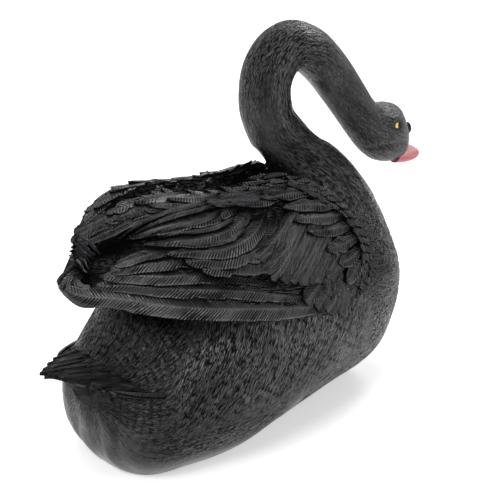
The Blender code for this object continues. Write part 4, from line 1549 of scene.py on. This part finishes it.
def make_floor(stage):
    """A wide pale floor that the camera sees as almost white, with the object's shadow on it."""
    half = FLOOR_SIZE / 2
    mesh = bpy.data.meshes.new("floor")
    corners = [(-half, -half, 0), (half, -half, 0), (half, half, 0), (-half, half, 0)]
    mesh.from_pydata(corners, [], [(0, 1, 2, 3)])
    floor = bpy.data.objects.new("floor", mesh)
    floor.location.z = -0.2 * MM
    bpy.context.scene.collection.objects.link(floor)
    made = Nodes("floor_paper")
    looks = {"Base Color": (*stage.floor_colour, 1), "Roughness": 0.8, "Specular IOR Level": 0.0}
    for name, value in looks.items():
        made.shader.inputs[name].default_value = value
    glow = made.node("ShaderNodeEmission", Color=(1, 1, 1, 1), Strength=FLOOR_GLOW)
    nodes, links = made.tree.nodes, made.tree.links
    lit = nodes.new("ShaderNodeAddShader")
    links.new(made.shader.outputs[0], lit.inputs[0])
    links.new(glow.outputs[0], lit.inputs[1])
    mix = camera_only(nodes, lit, made.shader)
    links.new(mix.outputs[0], nodes["Material Output"].inputs["Surface"])
    mesh.materials.append(made.material)


def make_world(scene):
    """White where the camera looks, and a soft grey studio for all other rays."""
    world = bpy.data.worlds.new("studio")
    scene.world = world
    world.use_nodes = True
    nodes, links = world.node_tree.nodes, world.node_tree.links
    seen = nodes["Background"]
    seen.inputs["Color"].default_value = (1, 1, 1, 1)
    seen.inputs["Strength"].default_value = 1.0
    studio = nodes.new("ShaderNodeBackground")
    studio.inputs["Color"].default_value = (1, 1, 1, 1)
    studio.inputs["Strength"].default_value = STUDIO_GLOW
    mix = camera_only(nodes, seen, studio)
    links.new(mix.outputs[0], nodes["World Output"].inputs["Surface"])


def make_lamp(name, place, size, power):
    """An area lamp that faces the swan."""
    data = bpy.data.lights.new(name, "AREA")
    data.shape = "RECTANGLE"
    data.size, data.size_y = size
    data.energy = power
    lamp = bpy.data.objects.new(name, data)
    lamp.location = place
    lamp.rotation_euler = (Vector(LAMP_AIM) - Vector(place)).to_track_quat("-Z", "Y").to_euler()
    bpy.context.scene.collection.objects.link(lamp)


def make_camera(scene, stage):
    """The photograph's camera, aimed so that the origin falls on its pixel."""
    right = Vector((math.cos(VIEW_TURN), -math.sin(VIEW_TURN), 0))
    ahead = Vector(
        (
            math.sin(VIEW_TURN) * math.cos(VIEW_RAISE),
            math.cos(VIEW_TURN) * math.cos(VIEW_RAISE),
            -math.sin(VIEW_RAISE),
        )
    )
    up = right.cross(ahead)
    away = stage.camera_distance
    middle = FRAME_PIXELS / 2
    across = (ORIGIN_PIXEL[0] - middle) / FOCAL_PIXELS * away
    above = (middle - ORIGIN_PIXEL[1]) / FOCAL_PIXELS * away
    data = bpy.data.cameras.new("camera")
    data.sensor_width = SENSOR
    data.lens = FOCAL_PIXELS * SENSOR / FRAME_PIXELS
    camera = bpy.data.objects.new("camera", data)
    place = -right * across - up * above - ahead * away + Vector((SHIFT, 0, 0))
    camera.matrix_world = Matrix.Translation(place) @ Matrix((right, up, -ahead)).transposed().to_4x4()
    scene.collection.objects.link(camera)
    scene.camera = camera


STEPS = (
    SWAN_OT_skin,
    SWAN_OT_wings,
    SWAN_OT_flight_feathers,
    SWAN_OT_coverts,
    SWAN_OT_tail,
    SWAN_OT_face,
    SWAN_OT_stage,
)


class SWAN_PT_panel(bpy.types.Panel):
    """Sizes, colours and steps of the swan"""

    bl_idname = "SWAN_PT_panel"
    bl_label = "Swan figurine"
    bl_space_type = "VIEW_3D"
    bl_region_type = "UI"
    bl_category = "Swan"

    def draw(self, context):
        for group in (context.scene.swan_plumage, context.scene.swan_paint, context.scene.swan_stage):
            box = self.layout.box()
            for name in group.__annotations__:
                box.prop(group, name)
        for step in STEPS:
            self.layout.operator(step.bl_idname)


CLASSES = (SwanPlumage, SwanPaint, SwanStage, *STEPS, SWAN_PT_panel)


def register():
    for cls in CLASSES:
        bpy.utils.register_class(cls)
    bpy.types.Scene.swan_plumage = bpy.props.PointerProperty(type=SwanPlumage)
    bpy.types.Scene.swan_paint = bpy.props.PointerProperty(type=SwanPaint)
    bpy.types.Scene.swan_stage = bpy.props.PointerProperty(type=SwanStage)


def unregister():
    del bpy.types.Scene.swan_stage
    del bpy.types.Scene.swan_paint
    del bpy.types.Scene.swan_plumage
    for cls in reversed(CLASSES):
        bpy.utils.unregister_class(cls)


def main():
    register()
    bpy.ops.swan.skin()
    bpy.ops.swan.wings()
    bpy.ops.swan.flight_feathers()
    bpy.ops.swan.coverts()
    bpy.ops.swan.tail()
    bpy.ops.swan.face()
    bpy.ops.swan.stage()


if __name__ == "__main__":
    main()
